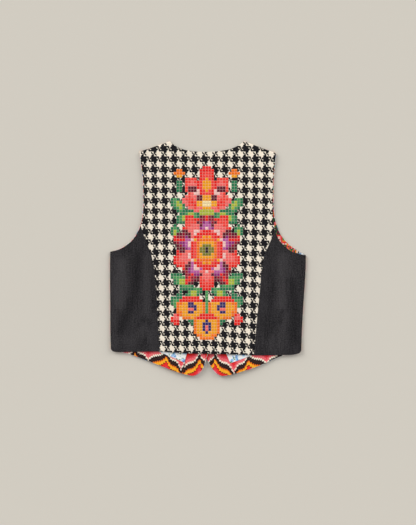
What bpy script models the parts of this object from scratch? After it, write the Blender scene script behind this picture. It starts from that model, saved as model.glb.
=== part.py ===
"""A lined waistcoat laid flat on its front, seen from behind.

The cloth is modelled as walls: a checked centre back, two denim side backs,
two fronts in a flame pattern that lap under the back, and the facings and
linings of the fronts that show below the back hem and along the armholes.

Metres, +Z up. The fronts lie on z = 0, +Y runs to the neck, and left and
right are as seen from above. Each panel is a four-sided patch between smooth
edge curves, with its height given by a function of its place.
"""

import math
from collections import namedtuple

import bmesh
import bpy
import numpy as np

Spot = namedtuple("Spot", "x y")
Fold = namedtuple("Fold", "x0 y0 x1 y1 reach rise")
Inset = namedtuple("Inset", "share depth")
Finish = namedtuple("Finish", "red green blue roughness")
Station = namedtuple("Station", "part away lean")

# Walls and gaps
BACK_WALL = 0.0016
FRONT_WALL = 0.0014
FACING_WALL = 0.0010
GAP = 0.0003
LAP_GAP = 0.0005

# Heights of the back's upper face, and where each rise starts and ends
BACK_HEIGHT = 0.0054
HEM_RISE = 0.0005
HEM_RISE_TOP = -0.170
PLACKET_RISE = 0.0023
PLACKET_NEAR, PLACKET_FAR = 0.016, 0.075
PLACKET_TOP = 0.090
FACING_RISE = 0.0018
FACING_RISE_START, FACING_RISE_FULL = -0.240, -0.205
FACING_FALL_START, FACING_FALL_END = -0.196, -0.165
NECK_SAG = 0.0014
NECK_SAG_START, NECK_SAG_FULL = 0.070, 0.150
NECK_POINT = 0.050
NECK_SPREAD = 0.1392
NECK_SPREAD_TOP = 0.300
NECK_FLAT_SHARE = 0.3
NECK_ROUND = 0.01

# Side and shoulder seams, where the back turns down to meet the front
SEAM_MIDDLE = BACK_HEIGHT / 2
BACK_SEAM = SEAM_MIDDLE + GAP / 2
FRONT_SEAM = SEAM_MIDDLE - GAP / 2
TURN = SEAM_MIDDLE - GAP / 2
TURN_LEANS = (0.0, 30.0, 60.0, 90.0)
FLAT = 90.0

# Closure
BUTTON_COUNT = 4
BUTTON_RADIUS = 0.0090
BUTTON_THICKNESS = 0.0022
BUTTON_RIM = 0.0016
BUTTON_DISH = 0.0006
BUTTON_HOLE = 0.0010
BUTTON_HOLE_PITCH = 0.0034
BUTTON_SIDES = 24
BUTTON_HOLE_SIDES = 8
BUTTON_LIFT = BUTTON_THICKNESS + GAP
LIFT_REACH = 0.048
LIFT_BOTTOM = -0.225
LIFT_TOP = 0.080
CENTRE_FRONT = -0.00375
LAP = 0.0255
TOP_BUTTON = 0.004
LOW_BUTTON = -0.165

# Bands of facing on the inside of the fronts
HEM_BAND = 0.030
EDGE_BAND = 0.041
ARMHOLE_BAND = 0.020
FACING_INSET = 0.0008
BAND_REACH = 0.085
LINING_REACH = 0.068
FACING_TOP = -0.195
FACING_RAMP = 0.016
CLIMB_START, CLIMB_END = -0.042, -0.010
FACING_START = 0.004
STRIP_START, STRIP_END = 0.006, 0.012
LINING_START = 3
TIP_CURL = 0.0050
CURL_BOTTOM, CURL_TOP = -0.290, -0.215

# Shares of the patches where their edges bend
YOKE = 0.36
NECK_IN, NECK_OUT = 0.225, 0.775
SHOULDER_FADE = 0.05
WAIST = 0.5
SIDE_FADE = 0.016
WAIST_ROW = 0.010
HEM_ROW = 0.025

# Corners of the pattern
NECK_LEFT = Spot(-0.0895, 0.2760)
NECK_RIGHT = Spot(0.0850, 0.2760)
SHOULDER_LEFT = Spot(-0.1610, 0.2515)
SHOULDER_RIGHT = Spot(0.1600, 0.2480)
UNDERARM_LEFT = Spot(-0.2298, 0.0165)
UNDERARM_RIGHT = Spot(0.2300, 0.0080)
SIDE_HEM_LEFT = Spot(-0.2285, -0.2120)
SIDE_HEM_RIGHT = Spot(0.2195, -0.2160)
SEAM_HEM_LEFT = Spot(-0.1133, -0.2180)
SEAM_HEM_RIGHT = Spot(0.1079, -0.2260)
BREAK_LEFT = Spot(CENTRE_FRONT + LAP / 2, 0.0160)
BREAK_RIGHT = Spot(CENTRE_FRONT - LAP / 2, 0.0160)
TIP_LEFT = Spot(-0.0370, -0.2758)
TIP_RIGHT = Spot(0.0330, -0.2759)
SEAM_TOP_LEFT = 0.0780
SEAM_TOP_RIGHT = 0.0680

# Edge curves, each as the few places that it runs through
NECKLINE = (
    NECK_LEFT,
    Spot(-0.0770, 0.2655),
    Spot(-0.0580, 0.2570),
    Spot(-0.0300, 0.2522),
    Spot(-0.0030, 0.2512),
    Spot(0.0260, 0.2530),
    Spot(0.0520, 0.2580),
    Spot(0.0720, 0.2665),
    NECK_RIGHT,
)
ARMHOLE_LEFT = (
    SHOULDER_LEFT,
    Spot(-0.1590, 0.2280),
    Spot(-0.1550, 0.2000),
    Spot(-0.1532, 0.1600),
    Spot(-0.1534, 0.1180),
    Spot(-0.1565, 0.0920),
    Spot(-0.1630, 0.0700),
    Spot(-0.1750, 0.0490),
    Spot(-0.1930, 0.0315),
    Spot(-0.2120, 0.0215),
    UNDERARM_LEFT,
)
ARMHOLE_RIGHT = (
    SHOULDER_RIGHT,
    Spot(0.1585, 0.2250),
    Spot(0.1556, 0.1950),
    Spot(0.1550, 0.1550),
    Spot(0.1555, 0.1150),
    Spot(0.1590, 0.0900),
    Spot(0.1660, 0.0680),
    Spot(0.1775, 0.0480),
    Spot(0.1930, 0.0320),
    Spot(0.2110, 0.0190),
    UNDERARM_RIGHT,
)
SIDE_LEFT = (
    UNDERARM_LEFT,
    Spot(-0.2304, -0.0080),
    Spot(-0.2304, -0.0500),
    Spot(-0.2298, -0.1100),
    Spot(-0.2294, -0.1800),
    SIDE_HEM_LEFT,
)
SIDE_RIGHT = (
    UNDERARM_RIGHT,
    Spot(0.2304, -0.0180),
    Spot(0.2288, -0.0600),
    Spot(0.2262, -0.1000),
    Spot(0.2235, -0.1450),
    Spot(0.2213, -0.1850),
    SIDE_HEM_RIGHT,
)
SEAM_LEFT = (
    Spot(-0.1471, 0.0428),
    Spot(-0.1350, 0.0139),
    Spot(-0.1264, -0.0275),
    Spot(-0.1215, -0.0893),
    Spot(-0.1180, -0.1511),
    SEAM_HEM_LEFT,
)
SEAM_RIGHT = (
    Spot(0.1460, 0.0385),
    Spot(0.1354, 0.0139),
    Spot(0.1271, -0.0275),
    Spot(0.1208, -0.0893),
    Spot(0.1147, -0.1511),
    SEAM_HEM_RIGHT,
)
BACK_HEM_LEFT = (
    SIDE_HEM_LEFT,
    Spot(-0.2245, -0.2167),
    Spot(-0.2150, -0.2182),
    Spot(-0.1820, -0.2181),
    SEAM_HEM_LEFT,
)
BACK_HEM_CENTRE = (
    SEAM_HEM_LEFT,
    Spot(-0.0600, -0.2222),
    Spot(-0.0030, -0.2238),
    Spot(0.0520, -0.2250),
    SEAM_HEM_RIGHT,
)
BACK_HEM_RIGHT = (
    SIDE_HEM_RIGHT,
    Spot(0.2155, -0.2212),
    Spot(0.2060, -0.2234),
    Spot(0.1700, -0.2254),
    SEAM_HEM_RIGHT,
)
FRONT_HEM_LEFT = (
    SIDE_HEM_LEFT,
    Spot(-0.2225, -0.2166),
    Spot(-0.2080, -0.2187),
    Spot(-0.1900, -0.2222),
    Spot(-0.1633, -0.2308),
    Spot(-0.1083, -0.2519),
    Spot(-0.0630, -0.2690),
    TIP_LEFT,
)
FRONT_HEM_RIGHT = (
    SIDE_HEM_RIGHT,
    Spot(0.2135, -0.2210),
    Spot(0.1990, -0.2237),
    Spot(0.1826, -0.2268),
    Spot(0.1544, -0.2362),
    Spot(0.1229, -0.2505),
    Spot(0.0800, -0.2650),
    Spot(0.0520, -0.2738),
    TIP_RIGHT,
)
FRONT_EDGE_LEFT = (
    BREAK_LEFT,
    Spot(BREAK_LEFT.x, -0.1000),
    Spot(BREAK_LEFT.x - 0.0006, -0.1720),
    Spot(0.0062, -0.2000),
    Spot(-0.0002, -0.2237),
    Spot(-0.0062, -0.2440),
    Spot(-0.0155, -0.2645),
    Spot(-0.0255, -0.2728),
    TIP_LEFT,
)
FRONT_EDGE_RIGHT = (
    BREAK_RIGHT,
    Spot(BREAK_RIGHT.x, -0.1000),
    Spot(BREAK_RIGHT.x + 0.0006, -0.1750),
    Spot(-0.0122, -0.2070),
    Spot(-0.0030, -0.2369),
    Spot(0.0050, -0.2515),
    Spot(0.0143, -0.2646),
    Spot(0.0225, -0.2720),
    TIP_RIGHT,
)
NECK_EDGE_LEFT = (NECK_LEFT, Spot(-0.0430, 0.1450), BREAK_LEFT)
NECK_EDGE_RIGHT = (NECK_RIGHT, Spot(0.0365, 0.1450), BREAK_RIGHT)

# How far the back stands in from the front along each armhole
BACK_INSET_LEFT = (
    Inset(0.00, 0.0000),
    Inset(0.10, 0.0015),
    Inset(0.75, 0.0015),
    Inset(1.00, 0.0000),
)
BACK_INSET_RIGHT = (
    Inset(0.00, 0.0000),
    Inset(0.10, 0.0018),
    Inset(0.48, 0.0022),
    Inset(0.62, 0.0060),
    Inset(0.74, 0.0112),
    Inset(0.88, 0.0100),
    Inset(1.00, 0.0000),
)

# Largest folds of the back, from one end to the other
BACK_FOLDS = (
    Fold(-0.163, 0.005, -0.169, -0.074, 0.013, -0.0014),
    Fold(-0.169, -0.074, -0.204, -0.168, 0.012, -0.0013),
    Fold(-0.203, -0.015, -0.208, -0.110, 0.018, 0.0014),
    Fold(-0.144, 0.000, -0.143, -0.130, 0.011, 0.0010),
    Fold(-0.150, -0.165, -0.178, -0.200, 0.012, 0.0008),
    Fold(0.176, 0.000, 0.174, -0.110, 0.015, 0.0014),
    Fold(0.150, -0.030, 0.140, -0.180, 0.012, -0.0008),
    Fold(0.199, -0.060, 0.205, -0.190, 0.013, -0.0012),
    Fold(0.184, -0.135, 0.168, -0.205, 0.012, 0.0010),
    Fold(-0.100, 0.200, -0.060, 0.120, 0.025, 0.0006),
    Fold(0.095, 0.205, 0.070, 0.110, 0.025, 0.0005),
)

CHECK = Finish(0.36, 0.34, 0.31, 0.90)
DENIM = Finish(0.032, 0.030, 0.032, 0.92)
FLAME = Finish(0.62, 0.16, 0.10, 0.90)
FLORAL = Finish(0.55, 0.20, 0.12, 0.90)
LINING = Finish(0.78, 0.78, 0.74, 0.85)
HORN = Finish(0.045, 0.040, 0.038, 0.35)


def ease(value, start, end):
    """0 before start, 1 after end, and smooth between them."""
    share = min(max((value - start) / (end - start), 0.0), 1.0)
    return share * share * (3.0 - 2.0 * share)


class Curve:
    """A smooth curve through a few spots, read by its share of the length."""

    STEPS = 24

    def __init__(self, spots):
        spots = np.array(spots, float)
        self.use(self.rounded(spots) if len(spots) > 2 else spots)

    def use(self, points):
        self.points = points
        steps = np.linalg.norm(np.diff(points, axis=0), axis=1)
        self.length = float(steps.sum())
        self.shares = np.concatenate([[0.0], np.cumsum(steps)]) / self.length

    def rounded(self, spots):
        """Points of a cubic through the spots, its slopes weighted by the spans beside them."""
        spans = np.linalg.norm(np.diff(spots, axis=0), axis=1)
        slopes = np.diff(spots, axis=0) / spans[:, None]
        before, after = spans[:-1, None], spans[1:, None]
        inner = (slopes[:-1] * after + slopes[1:] * before) / (before + after)
        tangents = np.vstack([slopes[:1], inner, slopes[-1:]])
        points = []
        for index, span in enumerate(spans):
            for t in np.arange(self.STEPS) / self.STEPS:
                points.append(
                    (2 * t**3 - 3 * t**2 + 1) * spots[index]
                    + (t**3 - 2 * t**2 + t) * span * tangents[index]
                    + (3 * t**2 - 2 * t**3) * spots[index + 1]
                    + (t**3 - t**2) * span * tangents[index + 1]
                )
        return np.array(points + [spots[-1]])

    def at(self, share):
        x = np.interp(share, self.shares, self.points[:, 0])
        y = np.interp(share, self.shares, self.points[:, 1])
        return np.array((x, y))

    def x_at(self, y):
        """The place across of a curve that only runs down."""
        return float(np.interp(-y, -self.points[:, 1], self.points[:, 0]))

    def share_at(self, y):
        return float(np.interp(-y, -self.points[:, 1], self.shares))

    def part(self, start, end):
        """The stretch between two shares, as a curve of its own."""
        piece = Curve((self.at(start), self.at(end)))
        inside = (self.shares > start) & (self.shares < end)
        piece.use(np.vstack([self.at(start), self.points[inside], self.at(end)]))
        return piece

    def inset(self, rows, side):
        """The curve moved in from its own line, by the depths of the rows."""
        along = np.gradient(self.points, axis=0)
        along /= np.linalg.norm(along, axis=1)[:, None]
        across = side * np.stack([-along[:, 1], along[:, 0]], axis=1)
        depth = np.interp(self.shares, [row.share for row in rows], [row.depth for row in rows])
        piece = Curve((self.points[0], self.points[-1]))
        piece.use(self.points + across * depth[:, None])
        return piece


def chain(*stretches):
    """One edge of several curves, each given with the share where it ends."""

    def at(share):
        start = 0.0
        for curve, end in stretches:
            if share <= end or curve is stretches[-1][0]:
                return curve.at((share - start) / (end - start))
            start = end

    return at


class Patch:
    """A four-sided panel filled in between its edges; each edge is read by share."""

    STEP = 0.002

    def __init__(self, top, bottom, first, last):
        self.top, self.bottom, self.first, self.last = top, bottom, first, last

    def spot(self, u, v):
        low = (1 - v) * self.top(u) + v * self.bottom(u)
        wide = (1 - u) * self.first(v) + u * self.last(v)
        upper = (1 - v) * ((1 - u) * self.first(0.0) + u * self.last(0.0))
        lower = v * ((1 - u) * self.first(1.0) + u * self.last(1.0))
        return low + wide - upper - lower

    def pace(self, u, v, across):
        """Metres of cloth for one share, across or down the panel, at a place."""
        start = u if across else v
        step = self.STEP if start < 0.5 else -self.STEP
        other = self.spot(u + step, v) if across else self.spot(u, v + step)
        return float(np.linalg.norm(other - self.spot(u, v))) / self.STEP

    def place(self, column, row):
        u = column.part
        if column.away:
            u += column.away / self.pace(column.part, row.part, True)
        v = row.part
        if row.away:
            v += row.away / self.pace(u, row.part, False)
        return self.spot(u, v), u, v


def between(first, last, cells):
    """Stations evenly placed from one to the other, leaving out the first."""
    return [
        Station(
            first.part + (last.part - first.part) * step / cells,
            first.away + (last.away - first.away) * step / cells,
            FLAT,
        )
        for step in range(1, cells + 1)
    ]


def edge(part, away=0.0):
    return Station(part, away, FLAT)


def turned():
    """Stations round the turn of a seam, from the seam line to the flat cloth."""
    return [Station(0.0, TURN * (1 - math.cos(math.radians(lean))), lean) for lean in TURN_LEANS]


def solid(name, outer, inner, cells, finish):
    """A closed wall between two grids of points, over the chosen cells."""
    mesh = bmesh.new()
    made = {}

    def corner(layer, i, j):
        key = (layer is outer, i, j)
        if key not in made:
            made[key] = mesh.verts.new(layer[i][j])
        return made[key]

    for i, j in sorted(cells):
        ring = ((i, j), (i, j + 1), (i + 1, j + 1), (i + 1, j))
        mesh.faces.new([corner(outer, *spot) for spot in ring])
        mesh.faces.new([corner(inner, *spot) for spot in reversed(ring)])
        beside = ((i - 1, j), (i, j + 1), (i + 1, j), (i, j - 1))
        for side, neighbour in enumerate(beside):
            if neighbour not in cells:
                here, there = ring[side], ring[(side + 1) % 4]
                mesh.faces.new(
                    [
                        corner(outer, *there),
                        corner(outer, *here),
                        corner(inner, *here),
                        corner(inner, *there),
                    ]
                )
    bmesh.ops.recalc_face_normals(mesh, faces=mesh.faces)
    data = bpy.data.meshes.new(name)
    mesh.to_mesh(data)
    mesh.free()
    data.shade_smooth()
    data.set_sharp_from_angle(angle=math.radians(50))
    return add(name, data, finish)


def add(name, data, finish):
    item = bpy.data.objects.new(name, data)
    bpy.context.scene.collection.objects.link(item)
    if not data.materials:
        data.materials.append(material(finish))
    item.parent = bpy.data.objects["waistcoat"]
    return item


def material(finish):
    name = next(key for key, value in globals().items() if value is finish).lower()
    if name in bpy.data.materials:
        return bpy.data.materials[name]
    made = bpy.data.materials.new(name)
    made.use_nodes = True
    shader = made.node_tree.nodes["Principled BSDF"]
    shader.inputs["Base Color"].default_value = (finish.red, finish.green, finish.blue, 1.0)
    shader.inputs["Roughness"].default_value = finish.roughness
    shader.inputs["Metallic"].default_value = 0.0
    return made


def all_cells(rows, columns):
    return {(i, j) for i in range(len(rows) - 1) for j in range(len(columns) - 1)}


def layer_points(patch, columns, rows, height, seam, wall, side_turn, top_turn):
    """One face of a wall. wall is 0 on the outer face, and the cloth's thickness on the inner."""
    grid = []
    for row in rows:
        line = []
        for column in columns:
            _, u, v = patch.place(column, row)
            side = side_turn(v) if column.lean < FLAT else 0.0
            top = top_turn(u) if row.lean < FLAT else 0.0
            side_lean, top_lean = math.radians(column.lean), math.radians(row.lean)
            moved_column = column._replace(away=column.away + wall * math.cos(side_lean) * side)
            moved_row = row._replace(away=row.away + wall * math.cos(top_lean) * top)
            (x, y), _, _ = patch.place(moved_column, moved_row)
            keep = (1 - side * (1 - math.sin(side_lean))) * (1 - top * (1 - math.sin(top_lean)))
            line.append((x, y, seam + (height(x, y) - seam) * keep))
        grid.append(line)
    return grid


def panel(name, patch, columns, rows, outside, through, seam, side_turn, top_turn, finish):
    """A wall with its outer face at outside(x, y) and its inner face through further on."""
    wall = abs(through)
    outer = layer_points(patch, columns, rows, outside, seam, 0.0, side_turn, top_turn)
    inner = layer_points(
        patch, columns, rows, lambda x, y: outside(x, y) + through, seam, wall, side_turn, top_turn
    )
    return solid(name, outer, inner, all_cells(rows, columns), finish)


def never(_):
    return 0.0


def always(_):
    return 1.0


def button_lift(x, y):
    """How far the buttons hold the fronts off the ground."""
    away = abs(x - CENTRE_FRONT)
    across = 1.0 - ease(away, LAP / 2, LIFT_REACH)
    low = ease(y, LIFT_BOTTOM, LOW_BUTTON - 1.4 * BUTTON_RADIUS)
    return BUTTON_LIFT * across * low * (1.0 - ease(y, BREAK_LEFT.y, LIFT_TOP))


def tip_curl(y):
    return TIP_CURL * (1.0 - ease(y, CURL_BOTTOM, CURL_TOP))


def right_front_under(x, y):
    return button_lift(x, y) + tip_curl(y)


def left_front_under(x, y):
    """The left front climbs over the right front's edge, and over its facing near the hem."""
    climb = ease(x - inner_edge_right.x_at(y), CLIMB_START, CLIMB_END)
    stack = FRONT_WALL + LAP_GAP
    stack += (FACING_WALL + GAP) * (1.0 - ease(y, FACING_TOP, FACING_TOP + FACING_RAMP))
    return button_lift(x, y) + tip_curl(y) + climb * stack


def fold_height(x, y, folds):
    """The highest ridge and the deepest trough that reach this place."""
    ridge = trough = 0.0
    for fold in folds:
        run = np.array((fold.x1 - fold.x0, fold.y1 - fold.y0))
        length = float(np.linalg.norm(run))
        along = float(np.dot((x - fold.x0, y - fold.y0), run)) / length
        off = abs(float(np.cross(run, (x - fold.x0, y - fold.y0)))) / length
        past = max(-along, along - length, 0.0)
        height = fold.rise * math.exp(-((off / fold.reach) ** 2) - (past / fold.reach) ** 2)
        ridge, trough = max(ridge, height), min(trough, height)
    return ridge + trough


def back_top(x, y):
    """The back's upper face: flat over the fronts, raised over the placket, low in the neck."""
    away = abs(x - CENTRE_FRONT)
    ridge = 1.0 - ease(away, PLACKET_NEAR, PLACKET_FAR)
    height = BACK_HEIGHT + HEM_RISE * (1.0 - ease(y, FACING_TOP, HEM_RISE_TOP))
    height += PLACKET_RISE * ridge * (1.0 - ease(y, BREAK_LEFT.y, PLACKET_TOP))
    facing = ease(y, FACING_RISE_START, FACING_RISE_FULL)
    facing *= 1.0 - ease(y, FACING_FALL_START, FACING_FALL_END)
    height += FACING_RISE * ridge * facing
    neck_half = NECK_SPREAD * ease(y, NECK_POINT, NECK_SPREAD_TOP)
    sag = 1.0 - ease(away, NECK_FLAT_SHARE * neck_half, neck_half + NECK_ROUND)
    height -= NECK_SAG * ease(y, NECK_SAG_START, NECK_SAG_FULL) * sag
    return height + fold_height(x, y, BACK_FOLDS)


def make_back():
    armhole_left = Curve(ARMHOLE_LEFT).inset(BACK_INSET_LEFT, 1)
    armhole_right = Curve(ARMHOLE_RIGHT).inset(BACK_INSET_RIGHT, -1)
    split_left = armhole_left.share_at(SEAM_TOP_LEFT)
    split_right = armhole_right.share_at(SEAM_TOP_RIGHT)
    seam_left = Curve((Spot(*armhole_left.at(split_left)),) + SEAM_LEFT)
    seam_right = Curve((Spot(*armhole_right.at(split_right)),) + SEAM_RIGHT)
    shoulder_left = Curve((SHOULDER_LEFT, NECK_LEFT))
    shoulder_right = Curve((NECK_RIGHT, SHOULDER_RIGHT))
    top = chain((shoulder_left, NECK_IN), (Curve(NECKLINE), NECK_OUT), (shoulder_right, 1.0))
    centre = Patch(
        top,
        Curve(BACK_HEM_CENTRE).at,
        chain((armhole_left.part(0.0, split_left), YOKE), (seam_left, 1.0)),
        chain((armhole_right.part(0.0, split_right), YOKE), (seam_right, 1.0)),
    )
    columns = [edge(0.0, GAP / 2)]
    columns += between(columns[0], edge(NECK_IN), cells=3)
    columns += between(edge(NECK_IN), edge(NECK_OUT), cells=10)
    columns += between(edge(NECK_OUT), edge(1.0, -GAP / 2), cells=3)
    rows = turned()
    rows += between(rows[-1], edge(YOKE), cells=10)
    rows += between(edge(YOKE), edge(1.0, -HEM_ROW), cells=14)
    rows += between(edge(1.0, -HEM_ROW), edge(1.0), cells=2)

    def shoulders(u):
        left = 1.0 - ease(u, NECK_IN, NECK_IN + SHOULDER_FADE)
        right = ease(u, NECK_OUT - SHOULDER_FADE, NECK_OUT)
        return max(left, right)

    panel(
        "back_centre", centre, columns, rows, back_top, -BACK_WALL, BACK_SEAM, never, shoulders, CHECK
    )

    sides = (
        ("left", armhole_left.part(split_left, 1.0), seam_left, SIDE_LEFT, BACK_HEM_LEFT),
        ("right", armhole_right.part(split_right, 1.0), seam_right, SIDE_RIGHT, BACK_HEM_RIGHT),
    )
    for side, armhole, seam, side_line, hem in sides:
        patch = Patch(
            lambda u, armhole=armhole: armhole.at(1.0 - u), Curve(hem).at, Curve(side_line).at, seam.at
        )
        columns = turned()
        columns += between(columns[-1], edge(1.0, -GAP / 2), cells=9)
        rows = [edge(0.0)]
        rows += between(edge(0.0), edge(1.0, -HEM_ROW), cells=14)
        rows += between(edge(1.0, -HEM_ROW), edge(1.0), cells=2)
        panel(
            f"side_back_{side}", patch, columns, rows, back_top, -BACK_WALL, BACK_SEAM, always, never, DENIM
        )


def make_fronts():
    fronts = (
        ("left", ARMHOLE_LEFT, SIDE_LEFT, FRONT_HEM_LEFT, SHOULDER_LEFT, NECK_LEFT,
         inner_edge_left, left_front_under),
        ("right", ARMHOLE_RIGHT, SIDE_RIGHT, FRONT_HEM_RIGHT, SHOULDER_RIGHT, NECK_RIGHT,
         inner_edge_right, right_front_under),
    )
    for side, armhole, side_line, hem, shoulder, neck, inner_edge, under in fronts:
        split = inner_edge.share_at(BREAK_LEFT.y)
        patch = Patch(
            Curve((shoulder, neck)).at,
            Curve(hem).at,
            chain((Curve(armhole), WAIST), (Curve(side_line), 1.0)),
            chain((inner_edge.part(0.0, split), WAIST), (inner_edge.part(split, 1.0), 1.0)),
        )
        columns = turned()
        columns += between(columns[-1], edge(0.0, ARMHOLE_BAND), cells=2)
        columns += between(edge(0.0, ARMHOLE_BAND), edge(1.0, -EDGE_BAND), cells=8)
        columns += between(edge(1.0, -EDGE_BAND), edge(1.0), cells=6)
        rows = turned()
        rows += between(rows[-1], edge(WAIST, -WAIST_ROW), cells=11)
        rows += between(edge(WAIST, -WAIST_ROW), edge(WAIST), cells=1)
        rows += between(edge(WAIST), edge(1.0, -BAND_REACH), cells=10)
        rows += between(edge(1.0, -BAND_REACH), edge(1.0, -HEM_BAND), cells=6)
        rows += between(edge(1.0, -HEM_BAND), edge(1.0), cells=3)

        def sewn_side(v):
            return ease(v, WAIST - SIDE_FADE, WAIST)

        panel(
            f"front_{side}", patch, columns, rows, under, FRONT_WALL, FRONT_SEAM, sewn_side, always, FLAME
        )

        def facing(name, columns, rows, cells, finish, under=under, patch=patch):
            def lower(x, y):
                return under(x, y) + FRONT_WALL + GAP

            def upper(x, y):
                return lower(x, y) + FACING_WALL

            low, high = (
                layer_points(patch, columns, rows, face, 0.0, 0.0, never, never) for face in (lower, upper)
            )
            solid(name, high, low, cells, finish)

        band_columns = [edge(0.0, FACING_START)]
        band_columns += between(band_columns[0], edge(0.0, ARMHOLE_BAND), cells=1)
        band_columns += between(edge(0.0, ARMHOLE_BAND), edge(1.0, -EDGE_BAND), cells=8)
        outer_columns = len(band_columns)
        band_columns += between(edge(1.0, -EDGE_BAND), edge(1.0, -FACING_INSET), cells=6)
        band_rows = [edge(1.0, -BAND_REACH)]
        band_rows += between(band_rows[0], edge(1.0, -HEM_BAND), cells=6)
        hem_rows = len(band_rows) - 1
        band_rows += between(edge(1.0, -HEM_BAND), edge(1.0, -FACING_INSET), cells=3)
        cells = {
            (i, j)
            for i, j in all_cells(band_rows, band_columns)
            if i >= hem_rows or j >= outer_columns - 1
        }
        facing(f"facing_{side}", band_columns, band_rows, cells, FLAME)

        lining_columns = between(edge(0.0, ARMHOLE_BAND), edge(1.0, -EDGE_BAND - GAP), cells=8)[LINING_START:]
        lining_rows = [edge(1.0, -LINING_REACH)]
        lining_rows += between(lining_rows[0], edge(1.0, -HEM_BAND - GAP), cells=4)
        facing(
            f"lining_{side}", lining_columns, lining_rows, all_cells(lining_rows, lining_columns), LINING
        )

        strip_columns = [edge(0.0, FACING_INSET)]
        strip_columns += between(strip_columns[0], edge(0.0, ARMHOLE_BAND), cells=2)
        strip_rows = [edge(0.0, STRIP_START)]
        strip_rows += between(strip_rows[0], edge(WAIST, -STRIP_END), cells=12)
        facing(
            f"armhole_facing_{side}", strip_columns, strip_rows, all_cells(strip_rows, strip_columns), FLORAL
        )


def make_buttons():
    """Dished buttons with four holes, their faces to the ground."""
    profile = (
        (0.0, BUTTON_DISH),
        (BUTTON_RADIUS - 2 * BUTTON_RIM, BUTTON_DISH),
        (BUTTON_RADIUS - BUTTON_RIM, 0.0),
        (BUTTON_RADIUS - BUTTON_RIM / 3, 0.0),
        (BUTTON_RADIUS, BUTTON_THICKNESS * 0.45),
        (BUTTON_RADIUS - BUTTON_RIM / 3, BUTTON_THICKNESS),
        (0.0, BUTTON_THICKNESS),
    )
    mesh = bmesh.new()
    line = [mesh.verts.new((radius, 0.0, height)) for radius, height in profile]
    for start, end in zip(line, line[1:]):
        mesh.edges.new((start, end))
    bmesh.ops.spin(
        mesh, geom=mesh.verts[:] + mesh.edges[:], axis=(0, 0, 1), cent=(0, 0, 0),
        angle=2 * math.pi, steps=BUTTON_SIDES, use_merge=True,
    )
    bmesh.ops.remove_doubles(mesh, verts=mesh.verts, dist=1e-6)
    bmesh.ops.recalc_face_normals(mesh, faces=mesh.faces)
    blank = bpy.data.meshes.new("button_blank")
    mesh.to_mesh(blank)
    mesh.free()

    drill = bmesh.new()
    for turn in range(4):
        angle = math.radians(45 + 90 * turn)
        made = bmesh.ops.create_cone(
            drill, cap_ends=True, segments=BUTTON_HOLE_SIDES, radius1=BUTTON_HOLE, radius2=BUTTON_HOLE,
            depth=3 * BUTTON_THICKNESS,
        )
        reach = BUTTON_HOLE_PITCH / math.sqrt(2)
        bmesh.ops.translate(
            drill, verts=made["verts"], vec=(reach * math.cos(angle), reach * math.sin(angle), 0.0)
        )
    drill_data = bpy.data.meshes.new("button_drill")
    drill.to_mesh(drill_data)
    drill.free()
    cutter = bpy.data.objects.new("button_drill", drill_data)
    cutter.hide_render = True
    cutter.display_type = "WIRE"
    pattern = bpy.data.objects.new("button_pattern", blank)
    pattern.hide_render = True
    for helper in (cutter, pattern):
        bpy.context.scene.collection.objects.link(helper)
    cut = pattern.modifiers.new("holes", "BOOLEAN")
    cut.object = cutter
    bpy.context.view_layer.update()
    seen = pattern.evaluated_get(bpy.context.evaluated_depsgraph_get())
    data = bpy.data.meshes.new_from_object(seen)
    data.name = "button"
    data.shade_smooth()
    data.set_sharp_from_angle(angle=math.radians(40))
    for helper in (pattern, cutter):
        bpy.data.objects.remove(helper)
    spacing = (TOP_BUTTON - LOW_BUTTON) / (BUTTON_COUNT - 1)
    for index in range(BUTTON_COUNT):
        item = add(f"button_{index + 1}", data, HORN)
        item.location = (CENTRE_FRONT, TOP_BUTTON - spacing * index, 0.0)


def clear_scene():
    for item in list(bpy.data.objects):
        bpy.data.objects.remove(item)


clear_scene()
bpy.context.scene.unit_settings.scale_length = 1.0
bpy.context.scene.collection.objects.link(bpy.data.objects.new("waistcoat", None))


def inner_edge(neck_edge, front_edge):
    """The neck edge and the front edge of one front, as a single line down to its tip."""
    upper, lower = Curve(neck_edge), Curve(front_edge)
    piece = Curve((neck_edge[0], front_edge[-1]))
    piece.use(np.vstack([upper.points, lower.points[1:]]))
    return piece


inner_edge_left = inner_edge(NECK_EDGE_LEFT, FRONT_EDGE_LEFT)
inner_edge_right = inner_edge(NECK_EDGE_RIGHT, FRONT_EDGE_RIGHT)
make_back()
make_fronts()
make_buttons()
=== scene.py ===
"""The looks of a lined waistcoat laid flat on its front, seen from behind.

Every cloth panel is a thin shell on the form of its solid, with rounded
edges and finer creases. The shells are four-sided patches between smooth
edge curves, as the solids are. Metres; left and right are as seen from above.
"""

import math
from collections import namedtuple

import bmesh
import bpy
import numpy as np
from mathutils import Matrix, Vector


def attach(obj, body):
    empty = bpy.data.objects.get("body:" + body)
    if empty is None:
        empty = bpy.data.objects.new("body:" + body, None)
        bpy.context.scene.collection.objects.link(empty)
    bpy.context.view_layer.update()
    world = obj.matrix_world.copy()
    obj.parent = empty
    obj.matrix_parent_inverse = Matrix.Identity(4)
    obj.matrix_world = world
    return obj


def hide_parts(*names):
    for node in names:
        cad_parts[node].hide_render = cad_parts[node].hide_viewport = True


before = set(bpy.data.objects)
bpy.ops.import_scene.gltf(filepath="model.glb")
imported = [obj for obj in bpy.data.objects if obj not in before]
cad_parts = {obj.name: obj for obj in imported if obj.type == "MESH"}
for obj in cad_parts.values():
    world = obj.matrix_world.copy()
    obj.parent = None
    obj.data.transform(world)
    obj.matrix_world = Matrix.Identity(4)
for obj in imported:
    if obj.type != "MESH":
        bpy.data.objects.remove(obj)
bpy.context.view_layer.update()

Spot = namedtuple("Spot", "x y")
Fold = namedtuple("Fold", "x0 y0 x1 y1 reach rise")
Inset = namedtuple("Inset", "share depth")
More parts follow.
